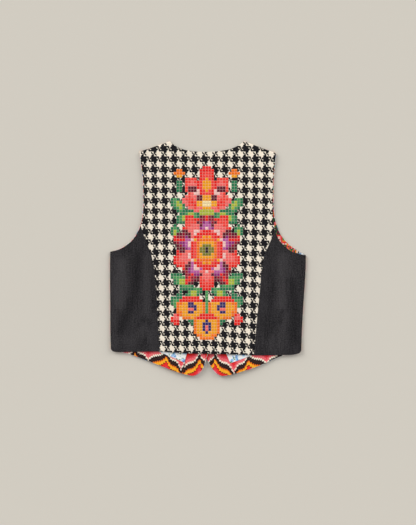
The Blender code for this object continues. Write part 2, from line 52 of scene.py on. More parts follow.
# A place across or down a panel: its share, metres on from that share, and distance from the edge it rounds
Station = namedtuple("Station", "part away rim")
Ripple = namedtuple("Ripple", "rise x1 y1 x2 y2 turn")

# Walls, gaps and heights, as in the solids
BACK_WALL = 0.0016
FRONT_WALL = 0.0014
FACING_WALL = 0.0010
GAP = 0.0003
LAP_GAP = 0.0005
BACK_HEIGHT = 0.0054
HEM_RISE = 0.0005
HEM_RISE_TOP = -0.170
PLACKET_RISE = 0.0023
PLACKET_NEAR, PLACKET_FAR = 0.016, 0.075
PLACKET_TOP = 0.090
FACING_RISE = 0.0018
FACING_RISE_START, FACING_RISE_FULL = -0.240, -0.205
FACING_FALL_START, FACING_FALL_END = -0.196, -0.165
NECK_SAG = 0.0014
NECK_SAG_START, NECK_SAG_FULL = 0.070, 0.150
NECK_POINT = 0.050
NECK_SPREAD = 0.1392
NECK_SPREAD_TOP = 0.300
NECK_FLAT_SHARE = 0.3
NECK_ROUND = 0.01
SEAM_MIDDLE = BACK_HEIGHT / 2
BACK_SEAM = SEAM_MIDDLE + GAP / 2
FRONT_SEAM = SEAM_MIDDLE - GAP / 2
TURN = SEAM_MIDDLE - GAP / 2
BUTTON_COUNT = 4
TOP_BUTTON = 0.004
LOW_BUTTON = -0.165
BUTTON_RADIUS = 0.0090
BUTTON_THICKNESS = 0.0022
BUTTON_DISH = 0.0006
BUTTON_HOLE_PITCH = 0.0034
BUTTON_LIFT = BUTTON_THICKNESS + GAP
LIFT_REACH = 0.048
LIFT_BOTTOM = -0.225
LIFT_FULL = LOW_BUTTON - 1.4 * BUTTON_RADIUS
LIFT_TOP = 0.080
CENTRE_FRONT = -0.00375
LAP = 0.0255
HEM_BAND = 0.030
EDGE_BAND = 0.041
ARMHOLE_BAND = 0.020
FACING_INSET = 0.0008
FACING_START = 0.004
STRIP_START, STRIP_END = 0.006, 0.012
LINING_START = 3 / 8
BAND_REACH = 0.085
LINING_REACH = 0.068
FACING_TOP = -0.195
FACING_RAMP = 0.016
CLIMB_START, CLIMB_END = -0.042, -0.010
TIP_CURL = 0.0050
CURL_BOTTOM, CURL_TOP = -0.290, -0.215
FOLD_GAIN = 1.05
# Rim of a station that no edge rounds
FREE = 1.0
MIDDLE = 0.5

# Even steps of each grid from one mark to the next
SHOULDER_STEPS, NECK_STEPS, YOKE_STEPS, BODY_STEPS = 18, 50, 50, 84
SIDE_ACROSS, SIDE_DOWN = 34, 78
BAND_STEPS = 4
FRONT_ACROSS, FRONT_EDGE_STEPS = 26, 9
FRONT_UPPER, FRONT_LOWER, FRONT_HEM_STEPS = 44, 30, 22
FACING_ACROSS, FACING_EDGE_STEPS = 30, 12
FACING_DOWN, FACING_HEM_STEPS = 18, 10
LINING_ACROSS, LINING_DOWN = 24, 14
STRIP_STEPS = 50

# Corners of the pattern
NECK_LEFT = Spot(-0.0895, 0.2760)
NECK_RIGHT = Spot(0.0850, 0.2760)
SHOULDER_LEFT = Spot(-0.1610, 0.2515)
SHOULDER_RIGHT = Spot(0.1600, 0.2480)
UNDERARM_LEFT = Spot(-0.2298, 0.0165)
UNDERARM_RIGHT = Spot(0.2300, 0.0080)
SIDE_HEM_LEFT = Spot(-0.2285, -0.2120)
SIDE_HEM_RIGHT = Spot(0.2195, -0.2160)
SEAM_HEM_LEFT = Spot(-0.1133, -0.2180)
SEAM_HEM_RIGHT = Spot(0.1079, -0.2270)
BREAK_LEFT = Spot(CENTRE_FRONT + LAP / 2, 0.0160)
BREAK_RIGHT = Spot(CENTRE_FRONT - LAP / 2, 0.0160)
TIP_LEFT = Spot(-0.0370, -0.2758)
TIP_RIGHT = Spot(0.0330, -0.2759)
SEAM_TOP_LEFT = 0.0780
SEAM_TOP_RIGHT = 0.0680
YOKE = 0.36
NECK_IN, NECK_OUT = 0.225, 0.775
SHOULDER_FADE = 0.05
SIDE_FADE = 0.016
WAIST = 0.5

# Edge curves, each as the few places that it runs through
NECKLINE = (
    NECK_LEFT, (-0.0770, 0.2655), (-0.0580, 0.2570), (-0.0300, 0.2522), (-0.0030, 0.2512),
    (0.0260, 0.2530), (0.0520, 0.2580), (0.0720, 0.2665), NECK_RIGHT,
)
ARMHOLE_LEFT = (
    SHOULDER_LEFT, (-0.1590, 0.2280), (-0.1550, 0.2000), (-0.1532, 0.1600), (-0.1534, 0.1180),
    (-0.1565, 0.0920), (-0.1630, 0.0700), (-0.1750, 0.0490), (-0.1930, 0.0315),
    (-0.2120, 0.0215), UNDERARM_LEFT,
)
ARMHOLE_RIGHT = (
    SHOULDER_RIGHT, (0.1585, 0.2250), (0.1556, 0.1950), (0.1550, 0.1550), (0.1555, 0.1150),
    (0.1590, 0.0900), (0.1660, 0.0680), (0.1775, 0.0480), (0.1930, 0.0320), (0.2110, 0.0190),
    UNDERARM_RIGHT,
)
SIDE_LEFT = (
    UNDERARM_LEFT, (-0.2304, -0.0080), (-0.2304, -0.0500), (-0.2298, -0.1100),
    (-0.2294, -0.1800), SIDE_HEM_LEFT,
)
SIDE_RIGHT = (
    UNDERARM_RIGHT, (0.2297, -0.0180), (0.2275, -0.0600), (0.2248, -0.1000), (0.2221, -0.1450),
    (0.2202, -0.1850), SIDE_HEM_RIGHT,
)
SEAM_LEFT = (
    (-0.1471, 0.0428), (-0.1350, 0.0139), (-0.1264, -0.0275), (-0.1215, -0.0893),
    (-0.1180, -0.1511), SEAM_HEM_LEFT,
)
SEAM_RIGHT = (
    (0.1460, 0.0385), (0.1354, 0.0139), (0.1271, -0.0275), (0.1208, -0.0893), (0.1147, -0.1511),
    SEAM_HEM_RIGHT,
)
BACK_HEM_LEFT = (
    SIDE_HEM_LEFT, (-0.2245, -0.2172), (-0.2150, -0.2191), (-0.1820, -0.2190), SEAM_HEM_LEFT,
)
BACK_HEM_CENTRE = (
    SEAM_HEM_LEFT, (-0.0600, -0.2222), (-0.0030, -0.2238), (0.0520, -0.2250), SEAM_HEM_RIGHT,
)
BACK_HEM_RIGHT = (
    SIDE_HEM_RIGHT, (0.2155, -0.2214), (0.2060, -0.2243), (0.1700, -0.2266), SEAM_HEM_RIGHT,
)
FRONT_HEM_LEFT = (
    SIDE_HEM_LEFT, (-0.2225, -0.2166), (-0.2080, -0.2193), (-0.1900, -0.2236),
    (-0.1633, -0.2328), (-0.1083, -0.2537), (-0.0630, -0.2700), TIP_LEFT,
)
FRONT_HEM_RIGHT = (
    SIDE_HEM_RIGHT, (0.2135, -0.2210), (0.1990, -0.2237), (0.1826, -0.2268), (0.1544, -0.2371),
    (0.1229, -0.2515), (0.0800, -0.2658), (0.0520, -0.2738), TIP_RIGHT,
)
FRONT_EDGE_LEFT = (
    BREAK_LEFT, (BREAK_LEFT.x, -0.1000), (BREAK_LEFT.x - 0.0006, -0.1720), (0.0062, -0.2000),
    (-0.0002, -0.2237), (-0.0062, -0.2440), (-0.0155, -0.2645), (-0.0255, -0.2728), TIP_LEFT,
)
FRONT_EDGE_RIGHT = (
    BREAK_RIGHT, (BREAK_RIGHT.x, -0.1000), (BREAK_RIGHT.x + 0.0006, -0.1750),
    (-0.0122, -0.2070), (-0.0030, -0.2369), (0.0050, -0.2515), (0.0143, -0.2646),
    (0.0225, -0.2720), TIP_RIGHT,
)
NECK_EDGE_LEFT = (NECK_LEFT, (-0.0430, 0.1450), BREAK_LEFT)
NECK_EDGE_RIGHT = (NECK_RIGHT, (0.0365, 0.1450), BREAK_RIGHT)

# How far the back stands in from the front along each armhole
BACK_INSET_LEFT = (
    Inset(0.00, 0.0000),
    Inset(0.10, 0.0015),
    Inset(0.75, 0.0015),
    Inset(1.00, 0.0000),
)
BACK_INSET_RIGHT = (
    Inset(0.00, 0.0000),
    Inset(0.10, 0.0018),
    Inset(0.48, 0.0022),
    Inset(0.62, 0.0060),
    Inset(0.74, 0.0112),
    Inset(0.88, 0.0100),
    Inset(1.00, 0.0000),
)

# Largest folds of the back, from one end to the other
BACK_FOLDS = (
    Fold(-0.163, 0.005, -0.169, -0.074, 0.013, -0.0014),
    Fold(-0.169, -0.074, -0.204, -0.168, 0.012, -0.0013),
    Fold(-0.203, -0.015, -0.208, -0.110, 0.018, 0.0014),
    Fold(-0.144, 0.000, -0.143, -0.130, 0.011, 0.0010),
    Fold(-0.150, -0.165, -0.178, -0.200, 0.012, 0.0008),
    Fold(0.176, 0.000, 0.174, -0.110, 0.015, 0.0014),
    Fold(0.150, -0.030, 0.140, -0.180, 0.012, -0.0008),
    Fold(0.199, -0.060, 0.205, -0.190, 0.013, -0.0012),
    Fold(0.184, -0.135, 0.168, -0.205, 0.012, 0.0010),
    Fold(-0.100, 0.200, -0.060, 0.120, 0.025, 0.0006),
    Fold(0.095, 0.205, 0.070, 0.110, 0.025, 0.0005),
)

# Finer creases of the back: pulls at the seams, soft waves in the side panels
BACK_CREASES = (
    Fold(-0.158, 0.040, -0.167, -0.060, 0.006, -0.0006),
    Fold(-0.172, -0.080, -0.189, -0.160, 0.007, -0.0005),
    Fold(-0.151, -0.140, -0.164, -0.160, 0.004, -0.0007),
    Fold(-0.217, -0.030, -0.218, -0.205, 0.009, 0.0009),
    Fold(-0.131, -0.040, -0.128, -0.120, 0.005, -0.0004),
    Fold(-0.132, -0.170, -0.130, -0.215, 0.008, 0.0006),
    Fold(-0.190, -0.190, -0.185, -0.216, 0.008, 0.0006),
    Fold(0.185, -0.050, 0.187, -0.085, 0.005, -0.0008),
    Fold(0.176, -0.125, 0.172, -0.150, 0.006, -0.0008),
    Fold(0.207, -0.170, 0.200, -0.215, 0.008, -0.0003),
    Fold(0.152, -0.185, 0.149, -0.215, 0.007, 0.0007),
    Fold(0.140, -0.060, 0.136, -0.150, 0.006, 0.0005),
    Fold(0.195, 0.005, 0.200, -0.040, 0.007, 0.0005),
    Fold(-0.120, 0.230, -0.095, 0.180, 0.010, 0.0004),
    Fold(0.120, 0.225, 0.100, 0.180, 0.010, 0.0004),
    Fold(-0.090, -0.120, -0.078, -0.200, 0.014, 0.0004),
    Fold(0.085, -0.110, 0.078, -0.200, 0.014, 0.0004),
    Fold(0.060, -0.215, 0.058, -0.190, 0.012, 0.0005),
    Fold(-0.045, -0.215, -0.047, -0.190, 0.012, 0.0005),
)

# Slow unevenness of the lying back: its rise, and two waves in radians a metre along x and y
RIPPLES = (
    Ripple(0.00010, 61, 23, -31, 47, 1.3),
    Ripple(0.00006, 60, 120, 140, -90, 0.7),
)


def ease(value, start, end):
    """0 before start, 1 after end, and smooth between them."""
    share = np.clip((np.asarray(value, float) - start) / (end - start), 0.0, 1.0)
    return share * share * (3.0 - 2.0 * share)


class Edge:
    """A line of points, read by its share of the length or by shares of its own."""

    STEPS = 24

    def __init__(self, points, shares=None):
        self.points = np.array(points, float)
        steps = np.linalg.norm(np.diff(self.points, axis=0), axis=1)
        self.length = float(steps.sum())
        self.shares = np.concatenate([[0.0], np.cumsum(steps)]) / self.length if shares is None else shares

    @classmethod
    def through(cls, spots):
        """A smooth line through a few spots, its slopes weighted by the spans beside them."""
        spots = np.array(spots, float)
        if len(spots) < 3:
            return cls(spots)
        spans = np.linalg.norm(np.diff(spots, axis=0), axis=1)
        slopes = np.diff(spots, axis=0) / spans[:, None]
        before, after = spans[:-1, None], spans[1:, None]
        inner = (slopes[:-1] * after + slopes[1:] * before) / (before + after)
        tangents = np.vstack([slopes[:1], inner, slopes[-1:]])
        t = (np.arange(cls.STEPS) / cls.STEPS)[:, None]
        runs = [
            (2 * t**3 - 3 * t**2 + 1) * spots[index]
            + (t**3 - 2 * t**2 + t) * span * tangents[index]
            + (3 * t**2 - 2 * t**3) * spots[index + 1]
            + (t**3 - t**2) * span * tangents[index + 1]
            for index, span in enumerate(spans)
        ]
        return cls(np.vstack(runs + [spots[-1:]]))

    @classmethod
    def chain(cls, *stretches):
        """One edge of several lines, each given with the share where it ends."""
        points, shares, start = [], [], 0.0
        for line, end in stretches:
            points.append(line.points[1 if points else 0:])
            shares.append((start + line.shares * (end - start))[1 if shares else 0:])
            start = end
        return cls(np.vstack(points), np.concatenate(shares))

    def at(self, share):
        x = np.interp(share, self.shares, self.points[:, 0])
        y = np.interp(share, self.shares, self.points[:, 1])
        return np.stack([x, y], axis=-1)

    def x_at(self, y):
        return np.interp(-np.asarray(y), -self.points[:, 1], self.points[:, 0])

    def share_at(self, y):
        return float(np.interp(-y, -self.points[:, 1], self.shares))

    def part(self, start, end):
        inside = (self.shares > start) & (self.shares < end)
        return Edge(np.vstack([self.at(start), self.points[inside], self.at(end)]))

    def back(self):
        return Edge(self.points[::-1])

    def inset(self, rows, side):
        along = np.gradient(self.points, axis=0)
        along /= np.linalg.norm(along, axis=1)[:, None]
        across = side * np.stack([-along[:, 1], along[:, 0]], axis=1)
        depth = np.interp(self.shares, [row.share for row in rows], [row.depth for row in rows])
        return Edge(self.points + across * depth[:, None])


class Patch:
    """A four-sided panel filled in between its edges."""

    STEP = 0.002
    TRIES = 3

    def __init__(self, top, bottom, first, last):
        self.top, self.bottom, self.first, self.last = top, bottom, first, last

    def spot(self, u, v):
        u1, v1 = u[..., None], v[..., None]
        low = (1 - v1) * self.top.at(u) + v1 * self.bottom.at(u)
        wide = (1 - u1) * self.first.at(v) + u1 * self.last.at(v)
        upper = (1 - v1) * ((1 - u1) * self.first.at(0.0) + u1 * self.last.at(0.0))
        lower = v1 * ((1 - u1) * self.first.at(1.0) + u1 * self.last.at(1.0))
        return low + wide - upper - lower

    def share(self, u, v, away, across):
        """The share that lies this many metres away, across or down the panel, at each place."""
        step = np.where((u if across else v) < MIDDLE, self.STEP, -self.STEP)
        for _ in range(self.TRIES):
            other = self.spot(u + step, v) if across else self.spot(u, v + step)
            share = away * np.abs(step) / np.linalg.norm(other - self.spot(u, v), axis=-1)
            step = np.where(np.abs(share) > self.STEP, share, step)
        return share

    def place(self, columns, rows, shift_columns=0.0, shift_rows=0.0):
        part_u, part_v = np.meshgrid([c.part for c in columns], [r.part for r in rows])
        away_u, away_v = np.meshgrid([c.away for c in columns], [r.away for r in rows])
        u = part_u + self.share(part_u, part_v, away_u + shift_columns, True)
        v = part_v + self.share(u, part_v, away_v + shift_rows, False)
        return self.spot(u, v), u, v

    def flat_area(self):
        """Area inside the four edges, and the width and length of the piece's box."""
        ring = np.vstack([
            self.top.points, self.last.points, self.bottom.points[::-1], self.first.points[::-1]
        ])
        x, y = ring[:, 0], ring[:, 1]
        area = abs(float(np.sum(x * np.roll(y, -1) - y * np.roll(x, -1)))) / 2
        return area, float(np.ptp(x)), float(np.ptp(y))


# Distances from an edge at which its round is drawn
NEAR_EDGE = (0.0, 0.00015, 0.0004, 0.0008, 0.0013, 0.0019, TURN, 0.0036)
FACING_EDGE = (0.0, 0.00012, 0.0003, 0.0005, 0.0012, 0.0024)
# Points nearer to each other than this are one
MERGED = 1e-6
SHARP_FROM = math.radians(60)


def start_edge(part=0.0, away=0.0, steps=NEAR_EDGE):
    return [Station(part, away + step, step) for step in steps]


def end_edge(part=1.0, away=0.0, steps=NEAR_EDGE):
    return [Station(part, away - step, step) for step in reversed(steps)]


def between(first, last, count):
    """Stations evenly placed from one to the other, leaving both out."""
    return [
        Station(
            first.part + (last.part - first.part) * step / count,
            first.away + (last.away - first.away) * step / count,
            FREE,
        )
        for step in range(1, count)
    ]


def mark(part, away=0.0):
    return [Station(part, away, FREE)]


def run(first, *rest):
    """One line of stations: groups of them, with the even steps from each group to the next."""
    stations = list(first)
    for count, group in zip(rest[::2], rest[1::2]):
        stations += between(stations[-1], group[0], count) + group
    return stations


def lean(rim, radius):
    """How far a round edge has turned at this distance in from its rim: 0 upright, a right angle flat."""
    return np.arccos(1 - np.minimum(rim / radius, 1.0))


def faces_of_wall(patch, columns, rows, outside, through, seam, side_turn, top_turn):
    """The outer and inner grids of a shell: first edges may turn to a seam, the others are round."""
    wall = abs(through)
    up = -1.0 if through > 0 else 1.0
    radius = wall / 2
    rim_u, rim_v = np.meshgrid([c.rim for c in columns], [r.rim for r in rows])
    sign_u, sign_v = np.meshgrid(
        [1.0 if c.part < MIDDLE else -1.0 for c in columns], [1.0 if r.part < MIDDLE else -1.0 for r in rows]
    )
    _, u, v = patch.place(columns, rows)
    side, top = side_turn(u, v) * (u < MIDDLE), top_turn(u, v) * (v < MIDDLE)
    lean_u, lean_v = lean(rim_u, TURN), lean(rim_v, TURN)
    keep = (1 - side * (1 - np.sin(lean_u))) * (1 - top * (1 - np.sin(lean_v)))

    def drop(rim, turned):
        return (1 - turned) * radius * (1 - np.sin(lean(rim, radius)))

    dropped = np.maximum(drop(rim_u, side), drop(rim_v, top))
    layers = []
    for depth in (0.0, wall):
        spot, _, _ = patch.place(
            columns, rows, sign_u * side * depth * np.cos(lean_u), sign_v * top * depth * np.cos(lean_v)
        )
        x, y = spot[..., 0], spot[..., 1]
        height = outside(x, y) - up * depth
        z = seam + (height - seam) * keep
        z += up * dropped * (1.0 if depth else -1.0)
        layers.append(np.dstack([x, y, z]))
    return layers


def shell(name, layers, cells=None, materials=()):
    """A closed mesh between the two grids. The inner faces take the second material."""
    outer, inner = layers
    rows, columns = outer.shape[:2]
    if cells is None:
        cells = np.ones((rows - 1, columns - 1), bool)
    number = np.arange(rows * columns).reshape(rows, columns)
    points = np.vstack([outer.reshape(-1, 3), inner.reshape(-1, 3)])
    behind = rows * columns
    faces, looks = [], []
    for i, j in np.argwhere(cells):
        ring = [number[i, j], number[i, j + 1], number[i + 1, j + 1], number[i + 1, j]]
        faces.append(ring)
        looks.append(0)
        faces.append([behind + spot for spot in reversed(ring)])
        looks.append(len(materials) - 1)
        beside = ((i - 1, j), (i, j + 1), (i + 1, j), (i, j - 1))
        for side, (row, column) in enumerate(beside):
            inside = 0 <= row < rows - 1 and 0 <= column < columns - 1
            if not inside or not cells[row, column]:
                here, there = ring[side], ring[(side + 1) % 4]
                faces.append([there, here, behind + here, behind + there])
                looks.append(0)
    mesh = bmesh.new()
    spots = [mesh.verts.new(point) for point in points]
    for ring, look in zip(faces, looks):
        mesh.faces.new([spots[index] for index in ring]).material_index = look
    loose = [spot for spot in mesh.verts if not spot.link_faces]
    bmesh.ops.delete(mesh, geom=loose, context="VERTS")
    bmesh.ops.remove_doubles(mesh, verts=mesh.verts, dist=MERGED)
    bmesh.ops.recalc_face_normals(mesh, faces=mesh.faces)
    data = mesh_data(name, mesh)
    data.shade_smooth()
    data.set_sharp_from_angle(angle=SHARP_FROM)
    for item in materials:
        data.materials.append(item)
    return put(name, data)


def put(name, data):
    """A new object in the scene."""
    made = bpy.data.objects.new(name, data)
    bpy.context.scene.collection.objects.link(made)
    return made


def mesh_data(name, mesh):
    data = bpy.data.meshes.new(name)
    mesh.to_mesh(data)
    mesh.free()
    return data


def write_field(data, name, values):
    """One number or one direction for each point of a mesh."""
    values = np.asarray(values, np.float32)
    kind, entry = ("FLOAT", "value") if values.ndim == 1 else ("FLOAT_VECTOR", "vector")
    data.attributes.new(name, kind, "POINT").data.foreach_set(entry, values.ravel())


def add_node(tree, kind, settings, inputs):
    """A node with its settings; each input is a value, or a socket that feeds it."""
    made = tree.nodes.new(kind)
    for name, value in settings.items():
        setattr(made, name, value)
    for key, value in inputs.items():
        if isinstance(value, bpy.types.NodeSocket):
            tree.links.new(value, made.inputs[key])
        else:
            made.inputs[key].default_value = value
    return made


# Heights of the layers

def button_lift(x, y):
    """How far the buttons hold the fronts off the ground."""
    away = np.abs(x - CENTRE_FRONT)
    across = 1.0 - ease(away, LAP / 2, LIFT_REACH)
    low = ease(y, LIFT_BOTTOM, LIFT_FULL)
    return BUTTON_LIFT * across * low * (1.0 - ease(y, BREAK_LEFT.y, LIFT_TOP))


def tip_curl(y):
    return TIP_CURL * (1.0 - ease(y, CURL_BOTTOM, CURL_TOP))


def right_front_under(x, y):
    return button_lift(x, y) + tip_curl(y)


def left_front_under(x, y):
    """The left front climbs over the right front's edge, and over its facing near the hem."""
    climb = ease(x - right_line.x_at(y), CLIMB_START, CLIMB_END)
    stack = FRONT_WALL + LAP_GAP
    stack = stack + (FACING_WALL + GAP) * (1.0 - ease(y, FACING_TOP, FACING_TOP + FACING_RAMP))
    return button_lift(x, y) + tip_curl(y) + climb * stack


def fold_height(x, y, folds):
    """The highest ridge and the deepest trough that reach each place."""
    ridge, trough = np.zeros_like(x), np.zeros_like(x)
    for fold in folds:
        run_x, run_y = fold.x1 - fold.x0, fold.y1 - fold.y0
        length = math.hypot(run_x, run_y)
        along = ((x - fold.x0) * run_x + (y - fold.y0) * run_y) / length
        off = ((x - fold.x0) * run_y - (y - fold.y0) * run_x) / length
        past = np.maximum(np.maximum(-along, along - length), 0.0)
        height = fold.rise * np.exp(-((off / fold.reach) ** 2) - (past / fold.reach) ** 2)
        ridge, trough = np.maximum(ridge, height), np.minimum(trough, height)
    return ridge + trough


def back_form(x, y):
    """The back's upper face: flat over the fronts, raised over the placket, low in the neck."""
    away = np.abs(x - CENTRE_FRONT)
    ridge = 1.0 - ease(away, PLACKET_NEAR, PLACKET_FAR)
    height = BACK_HEIGHT + HEM_RISE * (1.0 - ease(y, FACING_TOP, HEM_RISE_TOP))
    height = height + PLACKET_RISE * ridge * (1.0 - ease(y, BREAK_LEFT.y, PLACKET_TOP))
    facing = ease(y, FACING_RISE_START, FACING_RISE_FULL)
    facing = facing * (1.0 - ease(y, FACING_FALL_START, FACING_FALL_END))
    height = height + FACING_RISE * ridge * facing
    neck_half = NECK_SPREAD * ease(y, NECK_POINT, NECK_SPREAD_TOP)
    sag = 1.0 - ease(away, NECK_FLAT_SHARE * neck_half, neck_half + NECK_ROUND)
    height = height - NECK_SAG * ease(y, NECK_SAG_START, NECK_SAG_FULL) * sag
    return height + FOLD_GAIN * fold_height(x, y, BACK_FOLDS)


def back_top(x, y):
    """The back's upper face, with its creases and a slow unevenness."""
    height = back_form(x, y) + fold_height(x, y, BACK_CREASES)
    for row in RIPPLES:
        wave = np.sin(row.x1 * x + row.y1 * y) * np.sin(row.x2 * x + row.y2 * y + row.turn)
        height = height + row.rise * wave
    return height


# Forms

def inner_edge(neck_edge, front_edge):
    """The neck edge and the front edge of one front, as a single line down to its tip."""
    upper, lower = Edge.through(neck_edge), Edge.through(front_edge)
    return Edge(np.vstack([upper.points, lower.points[1:]]))


left_line = inner_edge(NECK_EDGE_LEFT, FRONT_EDGE_LEFT)
right_line = inner_edge(NECK_EDGE_RIGHT, FRONT_EDGE_RIGHT)


def back_patches():
    """The three panels of the back, by name."""
    left = Edge.through(ARMHOLE_LEFT).inset(BACK_INSET_LEFT, 1)
    right = Edge.through(ARMHOLE_RIGHT).inset(BACK_INSET_RIGHT, -1)
    split_left, split_right = left.share_at(SEAM_TOP_LEFT), right.share_at(SEAM_TOP_RIGHT)
    seam_left = Edge.through((Spot(*left.at(split_left)),) + SEAM_LEFT)
    seam_right = Edge.through((Spot(*right.at(split_right)),) + SEAM_RIGHT)
    shoulders = (
        (Edge.through((SHOULDER_LEFT, NECK_LEFT)), NECK_IN),
        (Edge.through(NECKLINE), NECK_OUT),
        (Edge.through((NECK_RIGHT, SHOULDER_RIGHT)), 1.0),
    )
    centre = Patch(
        Edge.chain(*shoulders),
        Edge.through(BACK_HEM_CENTRE),
        Edge.chain((left.part(0.0, split_left), YOKE), (seam_left, 1.0)),
        Edge.chain((right.part(0.0, split_right), YOKE), (seam_right, 1.0)),
    )
    top_left, top_right = left.part(split_left, 1.0).back(), right.part(split_right, 1.0).back()
    side_left = Patch(top_left, Edge.through(BACK_HEM_LEFT), Edge.through(SIDE_LEFT), seam_left)
    side_right = Patch(top_right, Edge.through(BACK_HEM_RIGHT), Edge.through(SIDE_RIGHT), seam_right)
    return {"back_centre": centre, "side_back_left": side_left, "side_back_right": side_right}


def front_patch(armhole, side_line, hem, shoulder, neck, line):
    split = line.share_at(BREAK_LEFT.y)
    return Patch(
        Edge.through((shoulder, neck)),
        Edge.through(hem),
        Edge.chain((Edge.through(armhole), WAIST), (Edge.through(side_line), 1.0)),
        Edge.chain((line.part(0.0, split), WAIST), (line.part(split, 1.0), 1.0)),
    )


def sewn_shoulders(u, v):
    left = 1.0 - ease(u, NECK_IN, NECK_IN + SHOULDER_FADE)
    right = ease(u, NECK_OUT - SHOULDER_FADE, NECK_OUT)
    return np.maximum(left, right)


def sewn_side(u, v):
    return ease(v, WAIST - SIDE_FADE, WAIST)


def no_turn(u, v):
    return np.zeros_like(u)


def full_turn(u, v):
    return np.ones_like(u)


def back_shell(name, patch, finish):
    last = end_edge(1.0, -GAP / 2)
    if name == "back_centre":
        side_turn, top_turn = no_turn, sewn_shoulders
        columns = run(
            start_edge(0.0, GAP / 2), SHOULDER_STEPS, mark(NECK_IN),
            NECK_STEPS, mark(NECK_OUT), SHOULDER_STEPS, last,
        )
        rows = run(start_edge(), YOKE_STEPS, mark(YOKE), BODY_STEPS, end_edge())
    else:
        side_turn, top_turn = full_turn, no_turn
        columns = run(start_edge(), SIDE_ACROSS, last)
        rows = run(start_edge(), SIDE_DOWN, end_edge())
    layers = faces_of_wall(patch, columns, rows, back_top, -BACK_WALL, BACK_SEAM, side_turn, top_turn)
    piece = shell(f"{name}_cloth", layers, materials=(finish, lining_cloth))
    # Fold heights kept on the mesh, which set the denim's painted shade and painted highlight
    spots = np.array([spot.co[:] for spot in piece.data.vertices])
    rise = fold_height(spots[:, 0], spots[:, 1], BACK_FOLDS + BACK_CREASES)
    write_field(piece.data, "fold_rise", rise)
    return piece


def front_shell(side, patch, under):
    columns = run(
        start_edge(), BAND_STEPS, mark(0.0, ARMHOLE_BAND),
        FRONT_ACROSS, mark(1.0, -EDGE_BAND), FRONT_EDGE_STEPS, end_edge(),
    )
    rows = run(
        start_edge(), FRONT_UPPER, mark(WAIST),
        FRONT_LOWER, mark(1.0, -BAND_REACH), FRONT_HEM_STEPS, end_edge(),
    )
    layers = faces_of_wall(patch, columns, rows, under, FRONT_WALL, FRONT_SEAM, sewn_side, full_turn)
    return shell(f"front_{side}_cloth", layers, materials=(flame_cloth, lining_cloth))


def inner_shell(name, patch, under, columns, rows, finish, cells=None):
    """A layer on the inside of a front: facing, lining or armhole facing."""

    def upper_face(x, y):
        return under(x, y) + FRONT_WALL + GAP + FACING_WALL

    layers = faces_of_wall(patch, columns, rows, upper_face, -FACING_WALL, 0.0, no_turn, no_turn)
    return shell(name, layers, cells, (finish,)), plan_size(layers[0], cells)


def plan_size(layer, cells=None):
    """Area of a layer of cloth as it lies, and the width and length of its box."""
    x, y = layer[..., 0], layer[..., 1]
    if cells is None:
        cells = np.ones((x.shape[0] - 1, x.shape[1] - 1), bool)
    first_x, first_y = x[1:, 1:] - x[:-1, :-1], y[1:, 1:] - y[:-1, :-1]
    second_x, second_y = x[1:, :-1] - x[:-1, 1:], y[1:, :-1] - y[:-1, 1:]
    area = np.abs(first_x * second_y - first_y * second_x) / 2
    return float(area[cells].sum()), float(np.ptp(x)), float(np.ptp(y))


def facing_shells(side, patch, under):
    """The flame facing round the hem and front edge, the lining above it, and the armhole facing."""
    armhole, edge, hem = mark(0.0, ARMHOLE_BAND), mark(1.0, -EDGE_BAND), mark(1.0, -HEM_BAND)
    last = end_edge(1.0, -FACING_INSET, FACING_EDGE)
    columns = run(
        start_edge(0.0, FACING_START, FACING_EDGE), BAND_STEPS, armhole,
        FACING_ACROSS, edge, FACING_EDGE_STEPS, last,
    )
    rows = run(start_edge(1.0, -BAND_REACH, (0.0,)), FACING_DOWN, hem, FACING_HEM_STEPS, last)
    cells = np.zeros((len(rows) - 1, len(columns) - 1), bool)
    cells[rows.index(hem[0]):, :] = True
    cells[:, columns.index(edge[0]):] = True
    facing = inner_shell(f"facing_{side}_cloth", patch, under, columns, rows, flame_facing, cells)

    stop = -EDGE_BAND - GAP
    start = ARMHOLE_BAND + LINING_START * (stop - ARMHOLE_BAND)
    columns = run(mark(LINING_START, start), LINING_ACROSS, mark(1.0, stop))
    rows = run(mark(1.0, -LINING_REACH), LINING_DOWN, mark(1.0, -HEM_BAND - GAP))
    lining = inner_shell(f"lining_{side}_cloth", patch, under, columns, rows, lining_cloth)

    columns = run(start_edge(0.0, FACING_INSET, FACING_EDGE), BAND_STEPS, armhole)
    rows = run(mark(0.0, STRIP_START), STRIP_STEPS, mark(WAIST, -STRIP_END))
    strip = inner_shell(f"armhole_facing_{side}_cloth", patch, under, columns, rows, floral_cloth)
    return facing, lining, strip


# Materials

